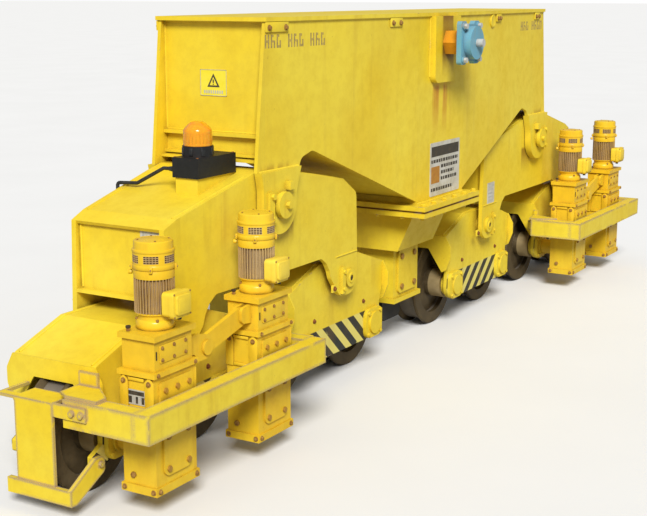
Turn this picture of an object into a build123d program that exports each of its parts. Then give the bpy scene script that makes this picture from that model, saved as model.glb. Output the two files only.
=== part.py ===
from build123d import *
import os
from math import cos, hypot, pi, radians, sin, tan

os.makedirs("parts", exist_ok=True)

# Driving dimensions, in millimetres. X runs along the rail, Z up, Z = 0 under the wheel flanges.

# main beam
FLANGE_TOP = 2560.0
FLANGE_THICK = 25.0
FLANGE_HALF_LENGTH = 2250.0
FLANGE_OVERHANG = 14.0
WEB_THICK = 24.0
WEB_HALF_WIDTH_END = 398.0
WEB_HALF_WIDTH_MIDDLE = 487.0
WEB_CREASE_X = 400.0
WEB_END_TOP_X = 2238.0
WEB_END_LOW_X = 2341.0
WEB_LOW_Z = 1642.0
NOTCH_START_X = 1890.0
SOFFIT_END_X = 400.0
SOFFIT_END_Z = 1207.0
END_PLATE_X = 2180.0
PLATE = 20.0

# main pins and lugs
MAIN_PIN_X = 2133.0
MAIN_PIN_Z = 1429.0
MAIN_PIN_R = 75.0
MAIN_LUG_R = 184.0
LUG_INNER_Y = 377.0
LUG_OUTER_Y = 431.0
PIN_FIT = 0.05

# joint flange, hanger and rail clamp under the middle
JOINT_HALF_X = 477.0
JOINT_HALF_Y = 600.0
JOINT_TOP_Z = 1185.0
JOINT_LOW_Z = 1100.0
TROUGH_HALF_X = 300.0
TROUGH_LOW_Z = 798.0
CLAMP_BOX_HALF_X = 203.0
CLAMP_BOX_HALF_Y = 206.0
CLAMP_BOX_LOW_Z = 366.0
SHOE_LOW_Z = 190.0
CLAMP_STROKE = 150.0

# trunnions
TRUNNION_Z = 2345.0
TRUNNION_R = 84.0
TRUNNION_JOURNAL_R = 60.0
TRUNNION_LUG_HALF_X = 210.0
TRUNNION_LUG_OUTER_Y = 535.0
UNIT_BACK_Y = 672.0
UNIT_FLANGE_THICK = 38.0
UNIT_FACE_Y = 766.0
UNIT_HALF = 155.0
UNIT_CAP_R = 120.0
OVERALL_HALF_Y = 818.0

# equalisers
EQ_PLATE = 32.0
EQ_HALF_WIDTH = 371.0
EQ_HALF_WIDTH_TIP = 330.0
BOGIE_PIN_INNER_X = 1183.0
BOGIE_PIN_OUTER_X = 3083.0
BOGIE_PIN_Z = 781.0
BOGIE_PIN_R = 60.0

# bogies and wheels
WHEEL_SPACING = 950.0
WHEEL_Z = 350.0
FLANGE_R = 350.0
TREAD_R = 315.0
WHEEL_HALF_WIDTH = 105.0
HUB_R = 117.0
HUB_FACE_Y = 214.0
JOURNAL_R = 55.0
BOGIE_OUTER_Y = 290.0
BOGIE_PLATE = 33.0
BOGIE_END_X = 650.0
BOSS_R = 128.0
CAP_FACE_Y = 333.0

# drives, all on the -Y side of the outer bogies
DRIVE_SHAFT_R = 45.0
GEAR_BACK_Y = 469.0
GEAR_FACE_Y = 685.0
GEAR_HALF_X = 174.0
GEAR_LOW_Z = 140.0
GEAR_WAIST_Z = 778.0
GEAR_TOP_Z = 998.0
GEAR_WALL = 14.0
MOTOR_Y = 566.0
MOTOR_TOP_Z = 1474.0
BOX_LOW_Z = 1070.0
BOX_TOP_Z = 1212.0
MOTOR_R = 107.0
ROTOR_SHAFT_R = 18.0

# bumper frames and rail sweepers
BUMPER_OUTER_Y = 818.0
BUMPER_OUT_X = 3950.0
BUMPER_IN_X = 2243.0
BUMPER_TOP_Z = 660.0
BUMPER_HEIGHT = 152.0
BUMPER_WIDTH = 100.0


def edges_of(points, place):
    """Edges of a closed outline; a point may carry a third value, its corner radius."""
    count = len(points)
    starts, ends, middles = [], [], []
    for index in range(count):
        here = points[index]
        before = points[index - 1]
        after = points[(index + 1) % count]
        radius = here[2] if len(here) > 2 else 0.0
        if radius <= 0:
            starts.append(here[:2])
            ends.append(here[:2])
            middles.append(None)
            continue
        to_before = (before[0] - here[0], before[1] - here[1])
        to_after = (after[0] - here[0], after[1] - here[1])
        long_before = hypot(*to_before)
        long_after = hypot(*to_after)
        unit_before = (to_before[0] / long_before, to_before[1] / long_before)
        unit_after = (to_after[0] / long_after, to_after[1] / long_after)
        cosine = unit_before[0] * unit_after[0] + unit_before[1] * unit_after[1]
        half_tan = ((1 - cosine) / (1 + cosine)) ** 0.5
        step = radius / half_tan
        bisector = (unit_before[0] + unit_after[0], unit_before[1] + unit_after[1])
        length = hypot(*bisector)
        reach = hypot(radius, step)
        centre = (here[0] + bisector[0] / length * reach, here[1] + bisector[1] / length * reach)
        starts.append((here[0] + unit_before[0] * step, here[1] + unit_before[1] * step))
        ends.append((here[0] + unit_after[0] * step, here[1] + unit_after[1] * step))
        middles.append((
            centre[0] - bisector[0] / length * radius,
            centre[1] - bisector[1] / length * radius,
        ))
    found = []
    for index in range(count):
        if middles[index] is not None:
            found.append(Edge.make_three_point_arc(
                place(*starts[index]), place(*middles[index]), place(*ends[index])))
        following = (index + 1) % count
        gap = hypot(starts[following][0] - ends[index][0], starts[following][1] - ends[index][1])
        if gap > 1e-6:
            found.append(Edge.make_line(place(*ends[index]), place(*starts[following])))
    return found


def swept(points, place, direction):
    """A closed outline pushed along one direction."""
    return Solid.extrude(Face(Wire(edges_of(points, place))), Vector(*direction))


def plate_xz(points, y0, y1):
    """A plate whose outline lies in the XZ plane."""
    return swept(points, lambda a, b: Vector(a, y0, b), (0, y1 - y0, 0))


def plate_xy(points, z0, z1):
    """A plate whose outline lies in the XY plane."""
    return swept(points, lambda a, b: Vector(a, b, z0), (0, 0, z1 - z0))


def plate_yz(points, x0, x1):
    """A plate whose outline lies in the YZ plane."""
    return swept(points, lambda a, b: Vector(x0, a, b), (x1 - x0, 0, 0))


def block(x0, x1, y0, y1, z0, z1):
    """A rectangular block between two corners."""
    return Pos((x0 + x1) / 2, (y0 + y1) / 2, (z0 + z1) / 2) * Box(
        abs(x1 - x0), abs(y1 - y0), abs(z1 - z0))


def rod_y(x, z, radius, y0, y1):
    """A round bar along Y."""
    return Pos(x, (y0 + y1) / 2, z) * Rot(90, 0, 0) * Cylinder(radius, abs(y1 - y0))


def rod_x(y, z, radius, x0, x1):
    """A round bar along X."""
    return Pos((x0 + x1) / 2, y, z) * Rot(0, 90, 0) * Cylinder(radius, abs(x1 - x0))


def rod_z(x, y, radius, z0, z1):
    """A round bar along Z."""
    return Pos(x, y, (z0 + z1) / 2) * Cylinder(radius, abs(z1 - z0))


def hex_y(x, z, across, y0, y1):
    """A hexagon bolt head along Y."""
    reach = across / 2 / cos(pi / 6)
    points = [(x + reach * cos(k * pi / 3), z + reach * sin(k * pi / 3)) for k in range(6)]
    return plate_xz(points, y0, y1)


def joined(*shapes):
    """One solid made of touching shapes."""
    result = shapes[0]
    for shape in shapes[1:]:
        result = result + shape
    return result


def solids_of(items):
    """All single solids in a list of shapes."""
    found = []
    for item in items:
        found.extend(item.solids())
    return found


def save(name, *items):
    """Write one node."""
    export_step(Compound(solids_of(items)), f"parts/{name}.step")


def far_side(shape):
    """The copy on the other side of the rail."""
    return mirror(shape, about=Plane.XZ)


def other_end(shape):
    """The copy at the other end of the machine."""
    return mirror(shape, about=Plane.YZ)


def both_sides(shape):
    return [shape, far_side(shape)]


def four(shape):
    """Copies at both sides and both ends."""
    return [shape, far_side(shape), other_end(shape), other_end(far_side(shape))]


def web_width(x):
    """Half width over the webs at one place along the beam."""
    x = abs(x)
    if x <= WEB_CREASE_X:
        return WEB_HALF_WIDTH_MIDDLE
    if x >= FLANGE_HALF_LENGTH:
        return WEB_HALF_WIDTH_END
    share = (FLANGE_HALF_LENGTH - x) / (FLANGE_HALF_LENGTH - WEB_CREASE_X)
    return WEB_HALF_WIDTH_END + share * (WEB_HALF_WIDTH_MIDDLE - WEB_HALF_WIDTH_END)


def plan_of_beam(extra, reach):
    """Six sided plan of the beam, grown by an amount, out to a given end."""
    middle = WEB_HALF_WIDTH_MIDDLE + extra
    end = web_width(reach) + extra
    corner = WEB_CREASE_X
    points = [
        (-reach, -end), (-corner, -middle), (corner, -middle), (reach, -end),
        (reach, end), (corner, middle), (-corner, middle), (-reach, end),
    ]
    if reach > FLANGE_HALF_LENGTH:
        turn = FLANGE_HALF_LENGTH
        points = [
            (-reach, -end), (-turn, -end), (-corner, -middle), (corner, -middle),
            (turn, -end), (reach, -end), (reach, end), (turn, end),
            (corner, middle), (-corner, middle), (-turn, end), (-reach, end),
        ]
    return points


# ---------------------------------------------------------------- main beam

def web_profile():
    """Side view of one web."""
    left = [
        (-WEB_END_TOP_X, FLANGE_TOP - FLANGE_THICK),
        (-WEB_END_LOW_X, WEB_LOW_Z),
        (-NOTCH_START_X, WEB_LOW_Z),
        (-NOTCH_START_X + 20, 1688, 60),
        (-1745, 1724, 70),
        (-SOFFIT_END_X, SOFFIT_END_Z),
        (-SOFFIT_END_X, JOINT_TOP_Z),
    ]
    right = [(-p[0],) + tuple(p[1:]) for p in reversed(left)]
    return left + right


def beam_shell(inner):
    """Webs as one ring in plan."""
    outer = plate_xy(plan_of_beam(0, 2400), JOINT_TOP_Z, FLANGE_TOP - FLANGE_THICK)
    hollow = plate_xy(plan_of_beam(-inner, 2500), JOINT_TOP_Z, FLANGE_TOP - FLANGE_THICK)
    return outer, hollow


outer_plan, inner_plan = beam_shell(WEB_THICK)
near_web = (outer_plan - inner_plan) & plate_xz(web_profile(), -700, 0)
far_web = far_side(near_web)
top_flange = plate_xy(
    plan_of_beam(FLANGE_OVERHANG, FLANGE_HALF_LENGTH), FLANGE_TOP - FLANGE_THICK, FLANGE_TOP)
save("top_flange", top_flange)
save("web_near", near_web)
save("web_far", far_web)

soffit_points = [
    (-END_PLATE_X, 1690), (-1890, 1690), (-1850, 1716, 40), (-1745, 1746, 60),
    (-SOFFIT_END_X, SOFFIT_END_Z + 20), (-SOFFIT_END_X, SOFFIT_END_Z + 44),
    (-1742, 1771, 60), (-1856, 1738, 40), (-1894, 1710), (-END_PLATE_X, 1710),
]
soffit = inner_plan & plate_xz(soffit_points, -700, 700)
rust_strip = inner_plan & block(
    -SOFFIT_END_X, -SOFFIT_END_X + PLATE, -700, 700, JOINT_TOP_Z, SOFFIT_END_Z + 44)
save("soffit_plates", soffit, rust_strip, other_end(soffit), other_end(rust_strip))

end_plate = inner_plan & block(
    -END_PLATE_X - PLATE, -END_PLATE_X, -700, 700, 1690, FLANGE_TOP - FLANGE_THICK)
upper_ledge = inner_plan & block(
    -END_PLATE_X - PLATE - 42, -END_PLATE_X - PLATE, -700, 700, 1838, 1860)
lower_ledge = inner_plan & block(
    -END_PLATE_X - PLATE - 30, -END_PLATE_X - PLATE, -700, 700, 1716, 1734)
foot_ledge = inner_plan & block(
    -END_PLATE_X - PLATE - 70, -END_PLATE_X - PLATE, -700, 700, 1690, 1706)
end_wall = joined(end_plate, upper_ledge, lower_ledge, foot_ledge)
save("end_plates", end_wall, other_end(end_wall))

# lugs that carry the equalisers
lug_side = MAIN_LUG_R
lug_outline = [
    (-WEB_END_LOW_X, WEB_LOW_Z), (-NOTCH_START_X, WEB_LOW_Z),
    (-MAIN_PIN_X + lug_side, MAIN_PIN_Z + 60, 180),
    (-MAIN_PIN_X + lug_side, MAIN_PIN_Z - lug_side, lug_side - 1),
    (-MAIN_PIN_X - lug_side, MAIN_PIN_Z - lug_side, lug_side - 1),
    (-MAIN_PIN_X - lug_side, MAIN_PIN_Z + 110, 150),
]
beam_lug = plate_xz(lug_outline, -LUG_OUTER_Y, -LUG_INNER_Y)
beam_lug = beam_lug - rod_y(-MAIN_PIN_X, MAIN_PIN_Z, MAIN_PIN_R, -500, -300)
save("beam_lugs", *four(beam_lug))

main_pin = rod_y(-MAIN_PIN_X, MAIN_PIN_Z, MAIN_PIN_R, -446, 446)
pin_disc = rod_y(-MAIN_PIN_X, MAIN_PIN_Z, 83, -476, -446)
disc_bolt = hex_y(-MAIN_PIN_X + 12, MAIN_PIN_Z, 42, -500, -476)
pin_disc = joined(pin_disc, disc_bolt)
keeper_bar = block(-MAIN_PIN_X - 150, -MAIN_PIN_X - 96, -452, -LUG_OUTER_Y, 1330, 1520)
keeper_bolt = hex_y(-MAIN_PIN_X - 120, MAIN_PIN_Z + 66, 34, -470, -452)
keeper_bolt_low = hex_y(-MAIN_PIN_X - 120, MAIN_PIN_Z - 74, 34, -470, -452)
keeper = joined(keeper_bar, keeper_bolt, keeper_bolt_low)
stop_block = block(-MAIN_PIN_X + 52, -MAIN_PIN_X + 104, -470, -LUG_OUTER_Y, 1516, 1566)
pin_parts = [main_pin, other_end(main_pin)]
for piece in (pin_disc, keeper, stop_block):
    pin_parts.extend(four(piece))
save("main_pins", *pin_parts)

# trunnion lugs, their stubs and the small pads under the top flange
middle_face = WEB_HALF_WIDTH_MIDDLE
lug_low = 2056.0
trunnion_lug = plate_xz([
    (-TRUNNION_LUG_HALF_X, FLANGE_TOP - FLANGE_THICK),
    (-TRUNNION_LUG_HALF_X, lug_low, 55),
    (TRUNNION_LUG_HALF_X, lug_low, 55),
    (TRUNNION_LUG_HALF_X, FLANGE_TOP - FLANGE_THICK),
], -TRUNNION_LUG_OUTER_Y, -middle_face)
save("trunnion_lugs", *both_sides(trunnion_lug))
stub_collar = hex_y(0, TRUNNION_Z, 2 * TRUNNION_R, -UNIT_BACK_Y + 12, -TRUNNION_LUG_OUTER_Y)
stub_journal = rod_y(0, TRUNNION_Z, TRUNNION_JOURNAL_R, -748, -UNIT_BACK_Y + 12)
stub = joined(stub_collar, stub_journal)
save("trunnion_stubs", *both_sides(stub))

# joint flange, trough and clamp box
upper_joint = block(-JOINT_HALF_X, JOINT_HALF_X, -JOINT_HALF_Y, JOINT_HALF_Y, 1147, JOINT_TOP_Z)
joint_shim = block(
    -JOINT_HALF_X + 14, JOINT_HALF_X - 14, -JOINT_HALF_Y + 14, JOINT_HALF_Y - 14, 1139, 1147)
lower_joint = block(-JOINT_HALF_X, JOINT_HALF_X, -JOINT_HALF_Y, JOINT_HALF_Y, JOINT_LOW_Z, 1139)
save("joint_flange", upper_joint, joint_shim, lower_joint)

trough_section = [
    (-425, JOINT_LOW_Z), (425, JOINT_LOW_Z), (289, TROUGH_LOW_Z), (-289, TROUGH_LOW_Z)]
trough_outer = plate_yz(trough_section, -TROUGH_HALF_X, TROUGH_HALF_X)
trough_core = [
    (-398, JOINT_LOW_Z), (398, JOINT_LOW_Z), (274, TROUGH_LOW_Z + PLATE),
    (-274, TROUGH_LOW_Z + PLATE)]
trough = trough_outer - plate_yz(trough_core, -TROUGH_HALF_X + PLATE, TROUGH_HALF_X - PLATE)
save("hanger_trough", trough)

clamp_outer = block(
    -CLAMP_BOX_HALF_X, CLAMP_BOX_HALF_X, -CLAMP_BOX_HALF_Y, CLAMP_BOX_HALF_Y, 402, TROUGH_LOW_Z)
clamp_foot = block(-222, 222, -226, 226, CLAMP_BOX_LOW_Z, 402)
plunger_half = 70.0
plunger_gap = 0.3
guide_bore = block(
    -plunger_half - plunger_gap, plunger_half + plunger_gap,
    -plunger_half - plunger_gap, plunger_half + plunger_gap, 300, TROUGH_LOW_Z - PLATE)
clamp_box = joined(clamp_outer, clamp_foot) - guide_bore
cover = plate_xz([(-150, 436, 34), (150, 436, 34), (150, 772, 34), (-150, 772, 34)], -224, -206)
clamp_parts = [clamp_box]
for side_cover in both_sides(cover):
    clamp_parts.append(side_cover)
cover_bolt = hex_y(-104, 486, 40, -238, -224)
bolt_places = [(0, 0), (208, 0), (0, 236), (208, 236)]
for dx, dz in bolt_places:
    placed = Pos(dx, 0, dz) * cover_bolt
    clamp_parts.extend(both_sides(placed))
save("clamp_housing", *clamp_parts)

plunger = block(
    -plunger_half, plunger_half, -plunger_half, plunger_half, SHOE_LOW_Z + 60, 640)
shoe = plate_xz([
    (-150, SHOE_LOW_Z + 30), (-118, SHOE_LOW_Z), (118, SHOE_LOW_Z), (150, SHOE_LOW_Z + 30),
    (150, 352), (-150, 352)], -82, 82)
save("clamp_shoe", joined(plunger, shoe))


# ---------------------------------------------------------------- trunnion bearing units

def bearing_unit():
    """Square flange, round housing, end cap and four bolts, near side."""
    ear = 52.0
    waist = UNIT_HALF - 22
    front = -UNIT_BACK_Y - UNIT_FLANGE_THICK
    flange = plate_xz([
        (-UNIT_HALF, TRUNNION_Z - UNIT_HALF, 24), (UNIT_HALF, TRUNNION_Z - UNIT_HALF, 24),
        (UNIT_HALF, TRUNNION_Z + UNIT_HALF, 24), (-UNIT_HALF, TRUNNION_Z + UNIT_HALF, 24),
    ], front, -UNIT_BACK_Y)
    for angle in (0, 180):
        scallop = plate_xz([
            (-UNIT_HALF + ear + 20, TRUNNION_Z + UNIT_HALF + 5),
            (-UNIT_HALF + ear + 44, TRUNNION_Z + waist, 20),
            (UNIT_HALF - ear - 44, TRUNNION_Z + waist, 20),
            (UNIT_HALF - ear - 20, TRUNNION_Z + UNIT_HALF + 5),
        ], front - 1, -UNIT_BACK_Y + 1)
        flange = flange - scallop.rotate(Axis((0, 0, TRUNNION_Z), (0, 1, 0)), angle)
    housing = rod_y(0, TRUNNION_Z, UNIT_CAP_R, -UNIT_FACE_Y, front)
    body = joined(flange, housing)
    body = body - rod_y(0, TRUNNION_Z, TRUNNION_JOURNAL_R + PIN_FIT, -750, -600)
    boss = rod_y(0, TRUNNION_Z, 29, -OVERALL_HALF_Y, -UNIT_FACE_Y)
    body = joined(body, boss)
    bolts = []
    reach = UNIT_HALF - 34
    for dx in (-reach, reach):
        for dz in (-reach, reach):
            bolts.append(joined(
                rod_y(dx, TRUNNION_Z + dz, 26, front - 12, front),
                hex_y(dx, TRUNNION_Z + dz, 36, front - 34, front - 12)))
    return [body] + bolts


near_unit = bearing_unit()
save("bearing_unit_near", *near_unit)
save("bearing_unit_far", *[far_side(piece) for piece in near_unit])


# ---------------------------------------------------------------- equaliser, left end

def eq_width(x):
    """Half width over the equaliser plates."""
    x = -abs(x)
    if x > -2400:
        return EQ_HALF_WIDTH
    share = (-2400 - x) / 860
    return EQ_HALF_WIDTH - share * (EQ_HALF_WIDTH - EQ_HALF_WIDTH_TIP)


def eq_plan(inset):
    """Plan outline of the equaliser."""
    tip = 3400
    return [
        (-1000, -EQ_HALF_WIDTH + inset), (-1000, EQ_HALF_WIDTH - inset),
        (-2400, EQ_HALF_WIDTH - inset), (-tip, eq_width(tip) - inset),
        (-tip, -eq_width(tip) + inset), (-2400, -EQ_HALF_WIDTH + inset),
    ]


eq_profile = [
    (-3172, 1423), (-3060, 1469), (-2290, 1652), (-2165, 1652),
    (-1262, 1478, 30), (-1081, 1362, 60), (-1067, 953),
    (-1067, 665, 115), (-1299, 665, 115),
    (-1420, 815, 40), (-1440, 870), (-1480, 930), (-1545, 976, 60),
    (-2721, 976, 60), (-2786, 930), (-2826, 870), (-2846, 815, 40),
    (-2967, 665, 115), (-3199, 665, 115), (-3190, 953),
]
eq_strip = plate_xy(eq_plan(0), 600, 1700) - plate_xy(eq_plan(EQ_PLATE), 600, 1700)
eq_side = eq_strip & plate_xz(eq_profile, -500, 0)
eq_tube_r = 105.0
for pin_x in (BOGIE_PIN_INNER_X, BOGIE_PIN_OUTER_X):
    eq_side = eq_side - rod_y(-pin_x, BOGIE_PIN_Z, BOGIE_PIN_R, -500, -200)
eq_side = eq_side - rod_y(-MAIN_PIN_X, MAIN_PIN_Z, eq_tube_r, -500, -200)

eq_inside = plate_xy(eq_plan(EQ_PLATE), 600, 1700)
cover_line = [
    (-3172, 1423), (-3060, 1469), (-2290, 1652), (-2165, 1652), (-1262, 1478), (-1102, 1376),
    (-1118, 1362), (-1268, 1457), (-2167, 1630), (-2288, 1630), (-3056, 1448), (-3160, 1404),
]
eq_top = eq_inside & plate_xz(cover_line, -500, 500)
belly_line = [
    (-1460, 1000), (-1560, 1030, 60), (-2706, 1030, 60), (-2806, 1000),
    (-2814, 1018), (-2710, 1050, 60), (-1556, 1050, 60), (-1452, 1018),
]
eq_belly = eq_inside & plate_xz(belly_line, -500, 500)
eq_tube = rod_y(-MAIN_PIN_X, MAIN_PIN_Z, eq_tube_r, -EQ_HALF_WIDTH, EQ_HALF_WIDTH)
eq_tube = eq_tube - rod_y(-MAIN_PIN_X, MAIN_PIN_Z, MAIN_PIN_R + PIN_FIT, -400, 400)
outer_end = eq_inside & plate_xz([
    (-3140, 1404), (-3120, 1404), (-3120, 1010), (-3140, 1010)], -500, 500)
outer_ledge = eq_inside & block(-3185, -3140, -500, 500, 1002, 1022)
inner_end = eq_inside & block(-1140, -1120, -500, 500, 1000, 1362)
rib_left = eq_inside & block(-2560, -2545, -500, 500, 1050, 1560)
rib_right = eq_inside & block(-1720, -1705, -500, 500, 1050, 1528)
save("eq_left_sides", *both_sides(eq_side))
save("eq_left_covers", eq_top, eq_belly, eq_tube, joined(outer_end, outer_ledge), inner_end,
     rib_left, rib_right)
save("eq_right_sides", *[other_end(piece) for piece in both_sides(eq_side)])
save("eq_right_covers", *[other_end(piece) for piece in (
    eq_top, eq_belly, eq_tube, joined(outer_end, outer_ledge), inner_end, rib_left, rib_right)])


def bogie_pin(pin_x):
    """Bogie pin with end discs and keeper bars."""
    face = eq_width(pin_x - 64) + 0.1
    seat = eq_width(pin_x + 118) - 4
    pieces = [rod_y(-pin_x, BOGIE_PIN_Z, BOGIE_PIN_R, -face, face)]
    disc = rod_y(-pin_x, BOGIE_PIN_Z, 63, -face - 22, -face)
    bar = block(-pin_x - 118, -pin_x - 80, -face - 24, -seat, BOGIE_PIN_Z - 92, BOGIE_PIN_Z + 92)
    bar = bar - eq_strip
    bolt = hex_y(-pin_x - 99, BOGIE_PIN_Z + 60, 26, -face - 36, -face - 24)
    low_bolt = hex_y(-pin_x - 99, BOGIE_PIN_Z - 60, 26, -face - 36, -face - 24)
    pieces.extend(both_sides(disc))
    pieces.extend(both_sides(joined(bar, bolt, low_bolt)))
    return pieces


left_pins = bogie_pin(BOGIE_PIN_INNER_X) + bogie_pin(BOGIE_PIN_OUTER_X)
save("eq_left_pins", *left_pins)
save("eq_right_pins", *[other_end(piece) for piece in left_pins])

# beacon on the left equaliser
BEACON_X0, BEACON_X1 = -2735.0, -2352.0
BEACON_Y0, BEACON_Y1 = -252.0, -66.0
BEACON_Z0, BEACON_Z1 = 1645.0, 1763.0
LENS_X, LENS_Y = -2606.0, -159.0


def eq_top_z(x):
    """Height of the sloping equaliser top at one place."""
    return 1469 + (x + 3060) * (1652 - 1469) / (3060 - 2290)


saddle = plate_xz([
    (BEACON_X0 + 12, eq_top_z(BEACON_X0 + 12) + 0.1), (BEACON_X1, eq_top_z(BEACON_X1) + 0.1),
    (BEACON_X1, BEACON_Z0), (BEACON_X0 + 12, BEACON_Z0)], BEACON_Y0 + 14, BEACON_Y1 - 14)
beacon_case = block(BEACON_X0, BEACON_X1, BEACON_Y0, BEACON_Y1, BEACON_Z0, BEACON_Z1)
beacon_ring = rod_z(LENS_X, LENS_Y, 92, BEACON_Z1, BEACON_Z1 + 62)
beacon_well = rod_z(LENS_X, LENS_Y, 70, BEACON_Z1 + 40, BEACON_Z1 + 80)
spindle_r = 8.0
spindle_bore = rod_z(LENS_X, LENS_Y, spindle_r + PIN_FIT, BEACON_Z1 + 12, BEACON_Z1 + 80)
case_shape = joined(beacon_case, beacon_ring) - beacon_well - spindle_bore
save("beacon_box", case_shape, saddle)
lens_outer = rod_z(LENS_X, LENS_Y, 86, BEACON_Z1 + 62, BEACON_Z1 + 205)
lens_outer = chamfer(lens_outer.edges().group_by(Axis.Z)[-1], 50, 26)
lens_hollow = rod_z(LENS_X, LENS_Y, 76, BEACON_Z1 + 62, BEACON_Z1 + 160)
save("beacon_lens", lens_outer - lens_hollow)
reflector_spindle = rod_z(LENS_X, LENS_Y, spindle_r, BEACON_Z1 + 14, BEACON_Z1 + 58)
reflector_table = rod_z(LENS_X, LENS_Y, 50, BEACON_Z1 + 58, BEACON_Z1 + 68)
reflector_plate = block(LENS_X - 6, LENS_X + 6, LENS_Y - 46, LENS_Y + 46, BEACON_Z1 + 68, BEACON_Z1 + 148)
save("beacon_reflector", joined(reflector_spindle, reflector_table, reflector_plate))

cable_r = 11.0
cable_x = -2700.0
cable_top = eq_top_z(cable_x)
edge_y = eq_width(cable_x)
cable_path = FilletPolyline(
    (cable_x, BEACON_Y1, BEACON_Z0 + 44), (cable_x, BEACON_Y1 + 90, BEACON_Z0 + 44),
    (cable_x, edge_y - 130, cable_top + 30), (cable_x, edge_y + 22, cable_top + 22),
    (cable_x, edge_y + 22, cable_top - 150), radius=20)
cable_disc = Plane(origin=cable_path @ 0, z_dir=cable_path % 0) * Circle(cable_r)
cable = sweep(cable_disc, path=cable_path)
gland = block(cable_x - 24, cable_x + 24, edge_y - 10, edge_y + 46, cable_top - 210, cable_top - 150)
gland = gland & (plate_xy(eq_plan(-60), 1200, 1600) - plate_xy(eq_plan(0), 1200, 1600))
save("beacon_cable", cable, gland)

# buffer on the right equaliser end
BUFFER_Z = 1240.0
buffer_back = 3140.0
barrel = rod_x(0, BUFFER_Z, 78, buffer_back, buffer_back + 190)
barrel = barrel - rod_x(0, BUFFER_Z, 50, buffer_back + 30, buffer_back + 200)
base_plate = block(buffer_back, buffer_back + 22, -135, 135, BUFFER_Z - 135, BUFFER_Z + 135)
save("buffer_housing", joined(barrel, base_plate))
buffer_disc = rod_x(0, BUFFER_Z, 140, buffer_back + 272, buffer_back + 296)
buffer_rod = rod_x(0, BUFFER_Z, 50 - PIN_FIT, buffer_back + 112, buffer_back + 272)
save("buffer_plunger", joined(buffer_disc, buffer_rod))


# ---------------------------------------------------------------- bogies

def bogie(centre, driven):
    """Pieces of one bogie centred at a place along X, pointing either way."""
    half = WHEEL_SPACING / 2
    inner_y = BOGIE_OUTER_Y - BOGIE_PLATE
    low = WHEEL_Z - 113

    side_outline = [
        (centre - 257, 906), (centre + 257, 906), (centre + 640, 775, 20),
        (centre + 640, 600, 70), (centre + half + 118, 480, 40), (centre + half + BOSS_R, 350),
        (centre + half + BOSS_R, low, BOSS_R - 15), (centre - half - BOSS_R, low, BOSS_R - 15),
        (centre - half - BOSS_R, 350), (centre - half - 118, 480, 40),
        (centre - 640, 600, 70), (centre - 640, 775, 20),
    ]
    side = plate_xz(side_outline, -BOGIE_OUTER_Y, -inner_y)
    for wheel_x in (centre - half, centre + half):
        side = side + rod_y(wheel_x, WHEEL_Z, 92, -BOGIE_OUTER_Y, -HUB_FACE_Y - 3)
        side = side - rod_y(wheel_x, WHEEL_Z, JOURNAL_R + PIN_FIT, -400, -150)
    tube_r = 98.0
    side = side - rod_y(centre, BOGIE_PIN_Z, tube_r, -400, -150)
    if driven:
        ear = plate_xz([
            (centre - 692, 214, 20), (centre - half - 90, 240), (centre - half - 110, 350),
            (centre - 660, 306), (centre - 692, 290, 12)], -BOGIE_OUTER_Y, -inner_y)
        side = side + ear - rod_y(centre - half, WHEEL_Z, JOURNAL_R + PIN_FIT, -400, -150)

    deck = block(centre - 257, centre + 257, -inner_y, inner_y, 886, 906)
    slopes = []
    for way in (-1, 1):
        line = [
            (centre + way * 257, 906), (centre + way * 640, 775), (centre + way * 633, 754),
            (centre + way * 257, 886)]
        slopes.append(plate_xz(line, -inner_y, inner_y))
    tube = rod_y(centre, BOGIE_PIN_Z, tube_r, -BOGIE_OUTER_Y, BOGIE_OUTER_Y)
    tube = tube - rod_y(centre, BOGIE_PIN_Z, BOGIE_PIN_R + PIN_FIT, -400, 400)
    ends = []
    for way in (-1, 1):
        outline = [
            (-292, 775), (292, 775), (338, 690, 40), (338, 600, 50), (300, 500),
            (262, 478), (140, 664), (-140, 664), (-262, 478), (-300, 500),
            (-338, 600, 50), (-338, 690, 40)]
        ends.append(plate_yz(outline, centre + way * 640, centre + way * 652))
    shell = [joined(deck, *slopes), tube] + ends

    caps = []
    for wheel_x in (centre - half, centre + half):
        plate_half = 118.0
        cap_plate = plate_xz([
            (wheel_x - plate_half, WHEEL_Z - 108, 60), (wheel_x + plate_half, WHEEL_Z - 108, 60),
            (wheel_x + plate_half, WHEEL_Z + 108, 60), (wheel_x - plate_half, WHEEL_Z + 108, 60),
        ], -BOGIE_OUTER_Y - 28, -BOGIE_OUTER_Y)
        cap_disc = rod_y(wheel_x, WHEEL_Z, 82, -CAP_FACE_Y, -BOGIE_OUTER_Y - 28)
        cap = joined(cap_plate, cap_disc)
        for dx in (-84, 84):
            for dz in (-78, 78):
                cap = cap + hex_y(wheel_x + dx, WHEEL_Z + dz, 26, -BOGIE_OUTER_Y - 40,
                                  -BOGIE_OUTER_Y - 28)
        caps.append(far_side(cap))
        if driven:
            cap = cap - rod_y(wheel_x, WHEEL_Z, DRIVE_SHAFT_R + 4, -400, -200)
        caps.append(cap)
    return both_sides(side), shell, caps


def turned(outline, x):
    """A solid of revolution about the axle line of a wheel; outline points are (radius, y)."""
    profile = Face(Wire(edges_of(outline, lambda r, y: Vector(r, y, 0))))
    return Pos(x, 0, WHEEL_Z) * Solid.revolve(profile, 360, Axis((0, 0, 0), (0, 1, 0)))


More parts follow.
